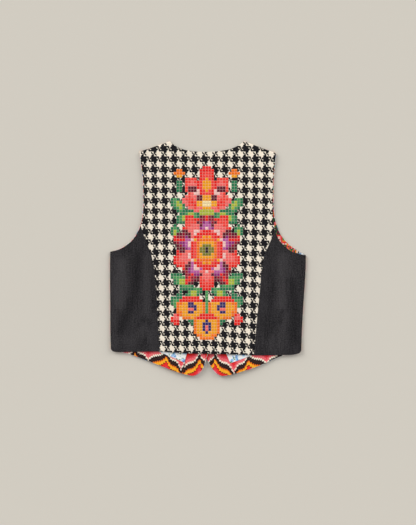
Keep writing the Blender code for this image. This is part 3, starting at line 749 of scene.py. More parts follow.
class Tone:
    """One value on a surface. Sums on it add Math nodes, and node() adds any other."""

    def __init__(self, socket):
        self.socket = socket

    def node(self, kind, settings=None, inputs=None, output=0):
        given = {
            key: value.socket if isinstance(value, Tone) else value for key, value in (inputs or {}).items()
        }
        made = add_node(self.socket.id_data, kind, settings or {}, given)
        return Tone(made.outputs[output])

    def maths(self, operation, *values):
        return self.node("ShaderNodeMath", {"operation": operation}, dict(enumerate(values)))

    def __add__(self, other):
        return self.maths("ADD", self, other)

    __radd__ = __add__

    def __sub__(self, other):
        return self.maths("SUBTRACT", self, other)

    def __rsub__(self, other):
        return self.maths("SUBTRACT", other, self)

    def __mul__(self, other):
        return self.maths("MULTIPLY", self, other)

    __rmul__ = __mul__

    def __truediv__(self, other):
        return self.maths("DIVIDE", self, other)

    def __mod__(self, other):
        return self.maths("FLOORED_MODULO", self, other)

    def __lt__(self, other):
        return self.maths("LESS_THAN", self, other)

    def floor(self):
        return self.maths("FLOOR", self)

    def sine(self):
        return self.maths("SINE", self)

    def size(self):
        return self.maths("ABSOLUTE", self)

    def multiplied(self, colour):
        """This colour darkened by another."""
        inputs = {0: 1.0, 6: self, 7: (*colour, 1.0)}
        return self.node("ShaderNodeMix", {"data_type": "RGBA", "blend_type": "MULTIPLY"}, inputs, output=2)

    def either(self, no, yes):
        """The number no where this is 0, and yes where it is 1."""
        return self.node("ShaderNodeMix", {"data_type": "FLOAT"}, {0: self, 2: no, 3: yes})

    def darken(self, colour, shade):
        """This colour where this is 0, and darkened by the shade where it is 1."""
        return self.colour(colour, colour.multiplied(shade))

    def colour(self, low, high):
        """The colour low where this is 0, and high where it is 1."""
        inputs = {0: self}
        for key, value in ((6, low), (7, high)):
            inputs[key] = value if isinstance(value, Tone) else (*value, 1.0)
        return self.node("ShaderNodeMix", {"data_type": "RGBA"}, inputs, output=2)

    def ramp(self, stops, stepped=False):
        """Colours by value; each stop is a place and a colour."""
        made = self.node("ShaderNodeValToRGB", inputs={0: self})
        ramp = made.socket.node.color_ramp
        ramp.interpolation = "CONSTANT" if stepped else "LINEAR"
        while len(ramp.elements) < len(stops):
            ramp.elements.new(1.0)
        for element, (place, colour) in zip(ramp.elements, stops):
            element.position = place
            element.color = (*colour, 1.0)
        return made

    def span(self, low, high, start=0.0, end=1.0):
        """This value moved from low..high to start..end, and held between them."""
        return self.node("ShaderNodeMapRange", {"clamp": True}, {0: self, 1: low, 2: high, 3: start, 4: end})


def shade_threads(colour, threads, fibres, shade, gap_share, fibre_share):
    """A colour with painted shade in the gaps between its threads, and darkened at random by its fibres."""
    return ((1.0 - threads) * gap_share + fibres * fibre_share).darken(colour, shade)


class Surface:
    """A material under way: its shader, and the place on the piece in metres."""

    def __init__(self, name, roughness, sheen=0.0, gloss=0.10):
        self.material = bpy.data.materials.new(name)
        self.material.use_nodes = True
        self.shader = self.material.node_tree.nodes["Principled BSDF"]
        self.shader.inputs["Roughness"].default_value = roughness
        self.shader.inputs["Sheen Weight"].default_value = sheen
        self.shader.inputs["Specular IOR Level"].default_value = gloss
        start = Tone(self.shader.outputs[0])
        self.place = start.node("ShaderNodeTexCoord", output="Object")
        split = self.place.node("ShaderNodeSeparateXYZ", inputs={0: self.place}, output=0)
        outputs = split.socket.node.outputs
        self.x, self.y, self.z = (Tone(outputs[index]) for index in range(3))

    def spots(self, scale_x, scale_y, scale_z=0.0):
        """The place stretched by a count of features a metre on each axis."""
        return self.place.node(
            "ShaderNodeVectorMath", {"operation": "MULTIPLY"}, {0: self.place, 1: (scale_x, scale_y, scale_z)}
        )

    def field(self, name, output):
        """What the mesh carries under this name."""
        return self.place.node("ShaderNodeAttribute", {"attribute_name": name}, output=output)

    def noise(self, scale_x, scale_y, scale_z=0.0, detail=2.0):
        """Smooth noise from 0 to 1, about a half on the mean."""
        where = self.spots(scale_x, scale_y, scale_z)
        return where.node("ShaderNodeTexNoise", {}, {"Vector": where, "Scale": 1.0, "Detail": detail})

    def speck(self, across, down):
        """A number from 0 to 1 for each pair of whole numbers."""
        pair = across.node("ShaderNodeCombineXYZ", {}, {0: across, 1: down})
        return pair.node("ShaderNodeTexWhiteNoise", {"noise_dimensions": "2D"}, {"Vector": pair})

    def weave(self, pitch_x, pitch_y):
        """Height of a plain weave, from 0 in the gaps to 1 on top of a thread."""
        across, down = self.x / pitch_x, self.y / pitch_y
        over = (across.floor() + down.floor()) % 2.0
        rib_x, rib_y = (across * math.pi).sine().size(), (down * math.pi).sine().size()
        return over.either(rib_x, rib_y)

    def finish(self, colour, height=None, depth=0.0, roughness=None):
        tree = self.material.node_tree
        tree.links.new(colour.socket, self.shader.inputs["Base Color"])
        if roughness is not None:
            tree.links.new(roughness.socket, self.shader.inputs["Roughness"])
        if height is not None:
            bump = height.node("ShaderNodeBump", {}, {"Height": height, "Distance": depth, "Strength": 1.0})
            tree.links.new(bump.socket, self.shader.inputs["Normal"])
        return self.material


CREAM = (0.93, 0.86, 0.74)
CREAM_SHADE = (0.86, 0.76, 0.62)
INK = (0.007, 0.006, 0.008)
INK_FADED = (0.016, 0.015, 0.018)
# The mixed squares of the check, top row first: # where the upright thread lies on top
CHECK_CHART = (
    "...###",
    "#..##.",
    "##.#..",
    "..#.##",
    ".##..#",
    "###...",
)
CHECK_CELLS = 2 * len(CHECK_CHART)
CHECK_SPREAD = 0.31
CHECK_ACROSS = 0.0240
CHECK_DOWN = 0.0246
CHECK_NARROWING = 0.16
CHECK_SHORTENING = 0.10
CHECK_TOP = 0.2463
CHECK_COLUMN = 0.0046
CHECK_SLOPE = 0.07
CHECK_SLOPE_START, CHECK_SLOPE_FULL = 0.10, 0.42
CHECK_TURN = 0.75
CANVAS_THREAD = Spot(0.00075, 0.00077)
CANVAS_SHADE = (0.72, 0.70, 0.68)


def chart_stops(chart):
    """Ramp stops that read a chart from the left of its lowest row: white at #, black at dots."""
    cells = "".join(reversed(chart))
    starts = [index for index, cell in enumerate(cells) if index == 0 or cell != cells[index - 1]]
    return [(index / len(cells), (float(cells[index] == "#"),) * 3) for index in starts]


def make_check():
    """Dogtooth check, twelve cells to a repeat, that narrows to the waist and sinks on the right."""
    made = Surface("checked_canvas", roughness=0.88)
    below = CHECK_TOP - made.y
    sinking = below.span(CHECK_SLOPE_START, CHECK_SLOPE_FULL, 0.0, CHECK_SLOPE)
    sunk = made.x.maths("MAXIMUM", made.x, 0.0) * sinking
    across = made.x / (CHECK_ACROSS * (1.0 - below * CHECK_NARROWING)) - CHECK_COLUMN / CHECK_ACROSS
    down = (made.y + sunk - CHECK_TOP) / CHECK_DOWN - below * below * (CHECK_SHORTENING / CHECK_DOWN / 2)
    half = CHECK_CELLS / 2
    start = CHECK_TURN * CHECK_CELLS

    # Cells are counted in whole numbers, and compared half a cell clear of them
    def dark_at(spread):
        column = (across * CHECK_CELLS + (start + spread)).floor()
        row = (down * CHECK_CELLS + (start - spread)).floor()
        warp_dark = (column % float(CHECK_CELLS)) < half - 0.5
        weft_dark = (row % float(CHECK_CELLS)) < half - 0.5
        charted = ((row % half) * half + column % half + 0.5) / half**2
        return charted.ramp(chart_stops(CHECK_CHART), stepped=True).either(weft_dark, warp_dark)

    dark = across.maths("MAXIMUM", dark_at(CHECK_SPREAD), dark_at(-CHECK_SPREAD))
    tint = made.speck((across * CHECK_CELLS).floor(), (down * CHECK_CELLS).floor())
    light = tint.colour(CREAM_SHADE, CREAM)
    black = tint.colour(INK, INK_FADED)
    colour = dark.colour(light, black)
    threads = made.weave(*CANVAS_THREAD)
    worn = made.noise(900, 900, detail=3.0)
    # Painted shade in the gaps between the canvas threads, and darker worn fibres at random
    colour = shade_threads(colour, threads, worn, CANVAS_SHADE, gap_share=0.35, fibre_share=0.20)
    return made.finish(colour, threads + worn * 0.6, depth=0.00025)


# Fold height at which the denim's painted shade and painted highlight are full
FULL_SHADE = 0.0014
CHARCOAL = (0.005, 0.0047, 0.0055)
CHARCOAL_SLUB = (0.040, 0.037, 0.040)
CHARCOAL_WORN = (0.042, 0.039, 0.043)
# Colours and shares of the painted highlight on fold crests and the painted shade in fold valleys
CREST_PAINTED_HIGHLIGHT = (0.078, 0.072, 0.076)
VALLEY_PAINTED_SHADE = (0.40, 0.40, 0.42)
WORN_SHARE, VALLEY_SHADE_SHARE, CREST_HIGHLIGHT_SHARE = 0.3, 0.62, 0.28
# Rows of the diagonal ribs a metre, across and down
TWILL = Spot(1250, 900)


def make_denim():
    """Charcoal cloth with upright slubs and worn patches, with painted shade in its fold valleys and painted
    highlight on its fold crests.
    """
    made = Surface("charcoal_denim", roughness=0.92, sheen=0.03, gloss=0.06)
    slub = made.noise(1500, 70, detail=3.0)
    streak = made.noise(520, 24, detail=3.0)
    band = made.noise(150, 11)
    grain = made.noise(390, 330, detail=5.0)
    wear = made.noise(22, 15, 22, detail=3.0)
    tone = slub * 0.16 + streak * 0.24 + band * 0.06 + grain * 0.54
    colour = tone.span(0.40, 0.60).colour(CHARCOAL, CHARCOAL_SLUB)
    colour = wear.span(0.40, 0.75, 0.0, WORN_SHARE).colour(colour, CHARCOAL_WORN)
    # Painted shade in the fold valleys and painted highlight on the fold crests, set by the fold heights
    fold = made.field("fold_rise", "Fac")
    colour = fold.span(-FULL_SHADE, 0.0, VALLEY_SHADE_SHARE, 0.0).darken(colour, VALLEY_PAINTED_SHADE)
    colour = fold.span(0.0, FULL_SHADE, 0.0, CREST_HIGHLIGHT_SHARE).colour(colour, CREST_PAINTED_HIGHLIGHT)
    twill = ((made.x * TWILL.x + made.y * TWILL.y) * math.pi).sine()
    return made.finish(colour, slub * 1.4 + twill * 0.35 + grain * 0.6, depth=0.00030)


FLAME_STITCH = 0.0024
FLAME_STAGGER = 0.0018
FLAME_SHAKE = 0.0008
FLAME_STEP = 0.0010
FLAME_THREAD = 0.0010
FLAME_MIDDLE = -0.0015
FLAME_BASE = -0.2690
FLAME_SHADE = (0.62, 0.56, 0.58)
# How sharp each turn of the wave is: 0 makes its sides straight, and 1 / (2 pi) makes them level at the turns
FLAME_CUSP = 0.80 / (2 * math.pi)
# Distance from the middle, and height above the base, of each turn of the wave
FLAME_TURNS = (
    (0.000, 0.016),
    (0.018, 0.048),
    (0.062, 0.000),
    (0.096, 0.044),
    (0.140, 0.022),
    (0.170, 0.052),
    (0.204, 0.020),
    (0.240, 0.048),
)
# Where each band starts above the cream line, and its colour; the last row ends the repeat
FLAME_BANDS = (
    (0.0000, (0.90, 0.82, 0.66)),
    (0.0030, (0.83, 0.150, 0.165)),
    (0.0115, (0.72, 0.050, 0.075)),
    (0.0165, (0.78, 0.026, 0.020)),
    (0.0255, (0.075, 0.006, 0.014)),
    (0.0275, (0.93, 0.43, 0.022)),
    (0.0345, (0.86, 0.160, 0.012)),
    (0.0375, (0.022, 0.012, 0.012)),
    (0.0430, (0.075, 0.022, 0.014)),
    (0.0446, (0.020, 0.011, 0.012)),
)
FLAME_PERIOD = 0.0500
HEM_SEAM = Spot(-0.0505, -0.2260)
HEM_SEAM_LEAN = 0.19
HEM_SEAM_SHIFT = 0.0085
HEM_SEAM_CORE, HEM_SEAM_REACH = 0.0004, 0.0011
HEM_SEAM_SHADE = (0.30, 0.26, 0.28)
# Share added to each band's start, so that its first step is whole
BAND_NUDGE = 0.001


def make_flame(name, seamed):
    """Upright stitches in stepped waves of colour, mirrored about the middle, and the facing's seam."""
    made = Surface(name, roughness=0.86)
    column = (made.x / FLAME_STITCH).floor()
    away = ((column + 0.5) * FLAME_STITCH - FLAME_MIDDLE).size()
    line = FLAME_BASE + FLAME_TURNS[0][1]
    for (start, low), (end, high) in zip(FLAME_TURNS, FLAME_TURNS[1:]):
        part = away.span(start, end)
        line = (part + (part * (2 * math.pi)).sine() * FLAME_CUSP) * (high - low) + line
    from_seam = made.x - HEM_SEAM.x - (made.y - HEM_SEAM.y) * HEM_SEAM_LEAN
    rise = made.y - line - (from_seam < 0.0) * (HEM_SEAM_SHIFT * seamed)
    shake = made.speck(column, (rise / FLAME_PERIOD).floor())
    rise = rise + shake * FLAME_SHAKE + column % 2.0 * FLAME_STAGGER
    share = (rise / FLAME_STEP).floor() * (FLAME_STEP / FLAME_PERIOD) % 1.0
    bands = [(place / FLAME_PERIOD + BAND_NUDGE, band) for place, band in FLAME_BANDS]
    colour = share.ramp(bands, stepped=True)
    thread = (made.x * (math.pi / FLAME_THREAD)).sine().size()
    wool = made.noise(1900, 500, detail=3.0)
    # Painted shade in the gaps between the upright threads, and darker wool fibres at random
    colour = shade_threads(colour, thread, wool, FLAME_SHADE, gap_share=0.40, fibre_share=0.25)
    seam = from_seam.size().span(HEM_SEAM_CORE, HEM_SEAM_REACH, seamed, 0.0)
    colour = (seam * 0.6).darken(colour, HEM_SEAM_SHADE)
    return made.finish(colour, thread + wool * 0.8 - seam * 3.0, depth=0.00030)


FLORAL_STITCH = 0.0033
FLORAL_THREAD = 0.0011
FLORAL_SHADE = (0.6, 0.6, 0.6)
# How fast the flowers' colours drift from stitch to stitch, and how often they run through all bands
FLORAL_DRIFT = Spot(0.13, 0.09)
FLORAL_ROUNDS = 7.0


def make_floral():
    """Counted stitches in pinks, oranges and greens for the armhole facings."""
    made = Surface("floral_cloth", roughness=0.86)
    column, row = (made.x / FLORAL_STITCH).floor(), (made.y / FLORAL_STITCH).floor()
    cell = column.node("ShaderNodeCombineXYZ", {}, {0: column * FLORAL_DRIFT.x, 1: row * FLORAL_DRIFT.y})
    patch = cell.node("ShaderNodeTexNoise", {}, {"Vector": cell, "Scale": 1.0, "Detail": 1.0})
    share = (patch * FLORAL_ROUNDS + made.speck(column, row) * 0.10) % 1.0
    colour = share.ramp((
        (0.00, (0.016, 0.070, 0.038)),
        (0.17, (0.080, 0.230, 0.050)),
        (0.34, (0.780, 0.200, 0.020)),
        (0.48, (0.700, 0.030, 0.028)),
        (0.66, (0.810, 0.150, 0.170)),
        (0.80, (0.840, 0.640, 0.500)),
        (0.88, (0.130, 0.012, 0.034)),
    ), stepped=True)
    threads = made.weave(FLORAL_THREAD, FLORAL_THREAD)
    # Painted shade in the gaps between the threads
    colour = ((1.0 - threads) * 0.5).darken(colour, FLORAL_SHADE)
    return made.finish(colour, threads, depth=0.00030)


LINING_WHITE = (0.82, 0.80, 0.78)
LINING_THREAD = 0.0005


def make_lining():
    """White lining with loose blue and green sprigs."""
    made = Surface("printed_lining", roughness=0.62, gloss=0.25)
    where = made.spots(80, 80)
    bend = where.node(
        "ShaderNodeTexNoise", {}, {"Vector": where, "Scale": 2.1, "Detail": 2.0}, output="Color"
    )
    moved = where.node("ShaderNodeVectorMath", {"operation": "ADD"}, {0: where, 1: bend})
    bloom = moved.node("ShaderNodeTexVoronoi", {}, {"Vector": moved, "Scale": 1.0}, output="Distance")
    leaf = moved.node("ShaderNodeTexVoronoi", {}, {"Vector": moved, "Scale": 1.7}, output="Distance")
    choice = made.noise(85, 85, detail=1.0)
    petals = bloom.ramp((
        (0.00, (0.20, 0.20, 0.03)),
        (0.10, (0.05, 0.10, 0.30)),
        (0.26, (0.12, 0.28, 0.58)),
        (0.46, (0.30, 0.50, 0.72)),
        (0.58, (0.78, 0.78, 0.78)),
        (1.00, LINING_WHITE),
    ))
    leaves = leaf.ramp((
        (0.00, (0.025, 0.11, 0.06)),
        (0.30, (0.07, 0.22, 0.08)),
        (0.46, (0.74, 0.77, 0.74)),
        (1.00, LINING_WHITE),
    ))
    colour = choice.span(0.50, 0.54).colour(petals, leaves)
    plain = made.noise(34, 38, detail=1.0).span(0.62, 0.70)
    colour = plain.colour(colour, LINING_WHITE)
    threads = made.weave(LINING_THREAD, LINING_THREAD)
    return made.finish(colour, threads + made.noise(260, 260) * 2.0, depth=0.00012)


YARN_SHADE = (0.62, 0.56, 0.56)
CANVAS_RIM = (0.92, 0.74, 0.64, 1.0)
CANVAS_SHOWS = 0.42


def make_yarn():
    """Wool laid in counted stitches, paler where the canvas shows round each stitch."""
    made = Surface("embroidery_yarn", roughness=0.80)
    colour, spot = made.field("yarn_colour", "Color"), made.field("stitch_place", "Vector")
    split = spot.node("ShaderNodeSeparateXYZ", inputs={0: spot}).socket.node.outputs
    across, along = Tone(split[0]), Tone(split[1])
    rim = across.maths("MAXIMUM", across.size(), along.size())
    pale = colour.node(
        "ShaderNodeMix", {"data_type": "RGBA"}, {0: CANVAS_SHOWS, 6: colour, 7: CANVAS_RIM}, output=2
    )
    strand = ((across + along) * (3.0 * math.pi)).sine().size()
    wool = made.noise(1500, 1500, detail=3.0)
    # Painted shade in the grooves between the twisted strands, and darker wool fibres at random
    body = shade_threads(colour, strand, wool, YARN_SHADE, gap_share=0.45, fibre_share=0.25)
    colour = rim.span(0.85, 0.93).colour(body, pale)
    return made.finish(colour, strand + wool, depth=0.00025)


def make_thread(name, light, dark):
    """Sewing thread with a fine twist."""
    made = Surface(name, roughness=0.55)
    twist = ((made.x * 900 + made.y * 1300 + made.z * 700) * math.pi).sine().size()
    return made.finish((twist * 0.6).colour(light, dark), twist, depth=0.00010)


def make_horn():
    """Dark horn with cloudy streaks and small scratches."""
    made = Surface("dark_horn", roughness=0.34, gloss=0.5)
    cloud = made.noise(170, 60, 120, detail=4.0)
    scratch = made.noise(2400, 180, 900)
    colour = cloud.ramp((
        (0.30, (0.012, 0.009, 0.007)),
        (0.52, (0.040, 0.026, 0.017)),
        (0.70, (0.120, 0.078, 0.042)),
    ))
    rough = scratch.span(0.35, 0.65, 0.26, 0.46)
    return made.finish(colour, scratch, depth=0.00005, roughness=rough)


FLOOR_LIGHT = (0.556, 0.527, 0.471)
FLOOR_DARK = (0.544, 0.515, 0.460)


def make_floor():
    """Plain warm grey paper."""
    made = Surface("studio_floor", roughness=0.95)
    grain = made.noise(700, 700)
    return made.finish(grain.span(0.3, 0.7).colour(FLOOR_DARK, FLOOR_LIGHT), grain, depth=0.00005)


check_cloth = make_check()
denim_cloth = make_denim()
flame_cloth = make_flame("flame_stitch_cloth", seamed=0.0)
flame_facing = make_flame("flame_stitch_facing", seamed=1.0)
floral_cloth = make_floral()
lining_cloth = make_lining()
yarn = make_yarn()
dark_thread = make_thread("dark_thread", (0.030, 0.024, 0.022), (0.008, 0.006, 0.006))
horn = make_horn()


# Stitches laid along lines and over cloth

def laid_stitches_tree():
    """Copies of a stitch on every point, turned to the point's own direction and slope."""
    tree = bpy.data.node_groups.new("laid_stitches", "GeometryNodeTree")
    for name, kind in (
        ("Points", "Geometry"), ("Stitch", "Object"), ("Length", "Float"), ("Width", "Float"),
        ("Height", "Float"), ("Unevenness", "Float"), ("Seed", "Int"), ("Finish", "Material"),
    ):
        tree.interface.new_socket(name, in_out="INPUT", socket_type=f"NodeSocket{kind}")
    tree.interface.new_socket("Stitches", in_out="OUTPUT", socket_type="NodeSocketGeometry")
    given = tree.nodes.new("NodeGroupInput").outputs
    result = tree.nodes.new("NodeGroupOutput").inputs

    def node(kind, settings, inputs):
        return add_node(tree, kind, settings, inputs).outputs

    def own(name):
        return node("GeometryNodeInputNamedAttribute", {"data_type": "FLOAT_VECTOR"}, {"Name": name})[0]

    upright = node("FunctionNodeAlignRotationToVector", {"axis": "Z"}, {"Vector": own("upward")})[0]
    turned = node(
        "FunctionNodeAlignRotationToVector", {"axis": "X", "pivot_axis": "Z"},
        {"Rotation": upright, "Vector": own("along")},
    )[0]
    least, most = (
        node("ShaderNodeMath", {"operation": operation}, {0: 1.0, 1: given["Unevenness"]})[0]
        for operation in ("SUBTRACT", "ADD")
    )
    random = node(
        "FunctionNodeRandomValue", {"data_type": "FLOAT"}, {2: least, 3: most, "Seed": given["Seed"]}
    )[1]
    size = node("ShaderNodeCombineXYZ", {}, {0: given["Length"], 1: given["Width"], 2: given["Height"]})[0]
    size = node("ShaderNodeVectorMath", {"operation": "SCALE"}, {0: size, "Scale": random})[0]
    stitch = node("GeometryNodeObjectInfo", {}, {"Object": given["Stitch"]})["Geometry"]
    laid = node(
        "GeometryNodeInstanceOnPoints", {},
        {"Points": given["Points"], "Instance": stitch, "Rotation": turned, "Scale": size},
    )[0]
    real = node("GeometryNodeRealizeInstances", {}, {0: laid})[0]
    done = node("GeometryNodeSetMaterial", {}, {"Geometry": real, "Material": given["Finish"]})[0]
    tree.links.new(done, result["Stitches"])
    return tree


def lay_stitches(name, stitch, points, along, upward, finish, sizes, unevenness, seed, colours=None):
    """One mesh of stitches, all along one direction; sizes is a stitch's length, width and height."""
    data = bpy.data.meshes.new(name)
    data.from_pydata([tuple(point) for point in points], [], [])
    for key, values in (("along", along), ("upward", upward), ("yarn_colour", colours)):
        if values is not None:
            write_field(data, key, np.broadcast_to(values, (len(points), 3)))
    base = put(f"{name}_points", data)
    modifier = base.modifiers.new("laid_stitches", "NODES")
    modifier.node_group = stitch_tree
    chosen = {
        "Stitch": stitch, "Length": sizes[0], "Width": sizes[1], "Height": sizes[2],
        "Unevenness": unevenness, "Seed": seed, "Finish": finish,
    }
    for item in stitch_tree.interface.items_tree:
        if item.in_out == "INPUT" and item.name in chosen:
            modifier[item.identifier] = chosen[item.name]
    graph = bpy.context.evaluated_depsgraph_get()
    made = bpy.data.meshes.new_from_object(base.evaluated_get(graph))
    made.name = name
    bpy.data.objects.remove(base)
    bpy.data.objects.remove(stitch)
    made.shade_smooth()
    return put(name, made)


def stitch_pattern(name, steps, top):
    """A closed pad one unit square, its upper face at top(x, y) of the half width, for copies."""
    mesh = bmesh.new()
    line = np.linspace(-0.5, 0.5, steps)
    grid = [[mesh.verts.new((x, y, top(2 * x, 2 * y))) for x in line] for y in line]
    for low, high in zip(grid, grid[1:]):
        for a, b, c, d in zip(low, low[1:], high[1:], high):
            mesh.faces.new((a, b, c, d))
    rim = grid[0] + [row[-1] for row in grid[1:]] + grid[-1][-2::-1] + [row[0] for row in grid[-2:0:-1]]
    floor = [mesh.verts.new((spot.co.x, spot.co.y, -0.5)) for spot in rim]
    count = len(rim)
    for index in range(count):
        mesh.faces.new((rim[index], floor[index], floor[(index + 1) % count], rim[(index + 1) % count]))
    mesh.faces.new(list(reversed(floor)))
    bmesh.ops.recalc_face_normals(mesh, faces=mesh.faces)
    data = mesh_data(name, mesh)
    write_field(data, "stitch_place", 2 * np.array([spot.co[:] for spot in data.vertices]))
    return put(name, data)


def slopes(face, x, y, step=0.0005):
    """Upward directions of a height function."""
    rise_x = (face(x + step, y) - face(x - step, y)) / (2 * step)
    rise_y = (face(x, y + step) - face(x, y - step)) / (2 * step)
    upward = np.stack([-rise_x, -rise_y, np.ones_like(rise_x)], axis=-1)
    return upward / np.linalg.norm(upward, axis=-1, keepdims=True)


# The stitched flowers: a fan-shaped bloom, a round one, and three small bells

YARN = {
    "ink": (0.018, 0.012, 0.016),
    "wine": (0.130, 0.006, 0.022),
    "crimson": (0.330, 0.008, 0.034),
    "plum": (0.290, 0.024, 0.200),
    "orchid": (0.500, 0.110, 0.360),
    "blush": (0.900, 0.560, 0.520),
    "coral": (0.900, 0.060, 0.045),
    "red": (0.820, 0.018, 0.014),
    "pink": (0.920, 0.150, 0.140),
    "orange": (0.900, 0.180, 0.008),
    "gold": (0.900, 0.370, 0.010),
    "sand": (0.900, 0.740, 0.380),
    "olive": (0.200, 0.200, 0.020),
    "leaf": (0.018, 0.190, 0.080),
    "fern": (0.070, 0.330, 0.100),
    "lime": (0.420, 0.500, 0.050),
    "navy": (0.028, 0.020, 0.140),
}
FLOWER_PITCH = 0.0068
FLOWER_MIDDLE = Spot(-0.0028, 0.0170)
FLOWER_REACH = Spot(12, 31)
FLOWER_HEIGHT = 0.0006
FLOWER_LIFT = 0.00005
FLOWER_GAP = 0.00005
PAD_STEPS, BAR_STEPS = 5, 9


def oval(x, y, middle_x, middle_y, half_length, half_width, tilt=0.0):
    """0 at the middle of an oval and 1 on its edge."""
    turn = math.radians(tilt)
    across, up = x - middle_x, y - middle_y
    along = across * math.cos(turn) + up * math.sin(turn)
    off = up * math.cos(turn) - across * math.sin(turn)
    return np.hypot(along / half_length, off / half_width)


def flower_chart():
    """Places in stitches from the middle, and the yarn of each."""
    columns = np.arange(-FLOWER_REACH.x, FLOWER_REACH.x + 1)
    rows = np.arange(-FLOWER_REACH.y, FLOWER_REACH.y + 1)
    x, y = (grid.astype(float) for grid in np.meshgrid(columns, rows))
    side = np.abs(x)
    chart = np.full(x.shape, "", dtype="<U8")

    def stitch(mask, yarn_name):
        chart[mask] = yarn_name

    def discs(*rows):
        for yarn_name, *shape in rows:
            stitch(oval(side, y, *shape) < 1.0, yarn_name)

    # Stems, winding up both sides, and the leaves on them
    stem = 7.2 + 2.4 * np.sin(y / 3.4)
    stitch((np.abs(side - stem) < 0.8) & (y < -8) & (y > -26), "leaf")
    stitch((side < 0.6) & (y > 9) & (y < 17), "fern")
    for shape in (
        (8.2, -10.5, 4.6, 2.2, 32),
        (4.6, -14.5, 3.6, 1.8, -28),
        (10.2, -18.0, 2.9, 1.7, 60),
        (6.6, 12.0, 4.8, 2.1, -24),
        (9.8, 16.0, 3.6, 1.8, 48),
        (10.6, 6.5, 2.8, 1.6, 62),
    ):
        inside = oval(side, y, *shape)
        stitch(inside < 1.0, "leaf")
        stitch(inside < 0.72, "fern")
        stitch(inside < 0.42, "lime")
    discs(
        ("red", 10.8, -23.5, 1.7, 1.9),
        ("pink", 10.8, -22.8, 0.9, 1.0),
        ("orange", 9.6, 27.0, 1.6, 1.8),
        ("gold", 9.6, 26.0, 0.8, 0.9),
    )
    stitch((np.abs(side - 9.6) < 0.6) & (y > 20) & (y < 25), "leaf")

    # Round bloom of ten petals, dark and bright in turn
    up = (y - 0.5) / 1.16
    turn, reach = np.arctan2(x, up), np.hypot(x, up)
    tip = reach / (1.0 + 0.10 * np.cos(10 * turn))
    bright = np.cos(5 * turn) < 0.0
    vein = np.abs(np.sin(5 * turn)) < 0.24
    for most, dark_petal, bright_petal in (
        (11.3, "wine", "red"),
        (10.1, "crimson", "coral"),
        (8.7, "plum", "pink"),
        (7.5, "orchid", "pink"),
        (6.5, "blush", "blush"),
    ):
        stitch((tip < most) & ~bright, dark_petal)
        stitch((tip < most) & bright, bright_petal)
    stitch((tip > 7.6) & (tip < 11.3) & vein & ~bright, "red")
    stitch((tip > 7.6) & (tip < 10.1) & (np.abs(np.cos(5 * turn)) < 0.30), "wine")
    for most, yarn_name in (
        (5.7, "red"),
        (4.7, "coral"),
        (3.9, "orange"),
        (3.0, "gold"),
        (2.1, "olive"),
        (0.8, "ink"),
    ):
        stitch(reach < most, yarn_name)
    stitch((reach > 3.9) & (reach < 5.7) & (np.abs(np.cos(5 * turn)) < 0.35), "gold")

    # Fan of petals above it
    for turned, length, outer, middle, heart in (
        (68, 8.2, "pink", "coral", "red"),
        (36, 11.4, "coral", "pink", "blush"),
        (0, 13.6, "red", "coral", "gold"),
    ):
        out, away = math.radians(90 - turned), 0.56 * length
        inside = oval(
            side, y, away * math.cos(out), 15.5 + away * math.sin(out), 0.50 * length, 3.1, 90 - turned
        )
        stitch(inside < 1.0, outer)
        stitch(inside < 0.70, middle)
        stitch(inside < 0.40, heart)
    discs(
        ("wine", 5.0, 21.5, 1.2, 1.2),
        ("gold", 0.0, 17.0, 3.4, 2.2),
        ("sand", 0.0, 16.4, 2.0, 1.3),
        ("wine", 2.6, 18.6, 0.9, 0.9),
    )
    stitch((side < 2.2) & (y > 12.5) & (y < 14.5), "lime")

    # Three bells at the foot
    for bell_x, bell_y in ((5.4, -19.6), (0.0, -26.0)):
        inside = oval(side, y, bell_x, bell_y, 5.0, 4.4)
        stitch(inside < 1.0, "orange")
        stitch((inside < 0.78) & (y < bell_y + 2.2), "gold")
        stitch((inside < 1.0) & (y > bell_y + 2.4), "red")
        discs(("navy", bell_x, bell_y, 1.6, 2.2), ("pink", bell_x, bell_y - 0.4, 0.7, 1.1))
    stitch((side < 0.6) & (y > -22) & (y < -13), "fern")
    return x[chart != ""], y[chart != ""], chart[chart != ""]


def make_flowers():
    across, up, names = flower_chart()
    x = FLOWER_MIDDLE.x + across * FLOWER_PITCH
    y = FLOWER_MIDDLE.y + up * FLOWER_PITCH
    points = np.stack([x, y, back_top(x, y) + FLOWER_LIFT], axis=-1)
    pad = stitch_pattern(
        "flower_stitch", PAD_STEPS, lambda u, v: 0.5 * (1 - abs(u) ** 3) * (1 - abs(v) ** 3)
    )
    colours = [YARN[name] for name in names]
    size = FLOWER_PITCH - FLOWER_GAP
    return lay_stitches(
        "stitched_flowers", pad, points, (1.0, 0.0, 0.0), slopes(back_top, x, y), yarn,
        (size, size, FLOWER_HEIGHT), unevenness=0.0, seed=3, colours=colours,
    )


BAR_LENGTH = 1.35 * BUTTON_HOLE_PITCH
BAR_WIDTH = 0.0013
BAR_HEIGHT = 0.0009


def make_button_threads():
    """Two bars of thread across the holes of each button, in the dish of its outer face."""
    places = np.linspace(TOP_BUTTON, LOW_BUTTON, BUTTON_COUNT)
    spots = [
        (CENTRE_FRONT + side * BUTTON_HOLE_PITCH / 2, y, BUTTON_DISH)
        for y in places for side in (-1, 1)
    ]
    pad = stitch_pattern(
        "thread_bar", BAR_STEPS, lambda u, v: 0.5 * (1 - u**4) * math.sqrt(max(0.0, 1 - v * v))
    )
    return lay_stitches(
        "button_threads", pad, spots, (0.0, 1.0, 0.0), (0.0, 0.0, -1.0), dark_thread,
        (BAR_LENGTH, BAR_WIDTH, BAR_HEIGHT), unevenness=0.03, seed=7,
    )


def declare(piece, node, size):
    """A sheet of cloth in place of its node; size, the area that was cut and its box, is not used."""
    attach(piece, "root")
    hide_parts(node)


stitch_tree = laid_stitches_tree()
flowers = make_flowers()
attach(flowers, "root")

buttons = [f"button_{number}" for number in range(1, BUTTON_COUNT + 1)]
for name in buttons:
    bpy.data.objects[name].material_slots[0].material = horn
button_threads = make_button_threads()
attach(button_threads, "root")

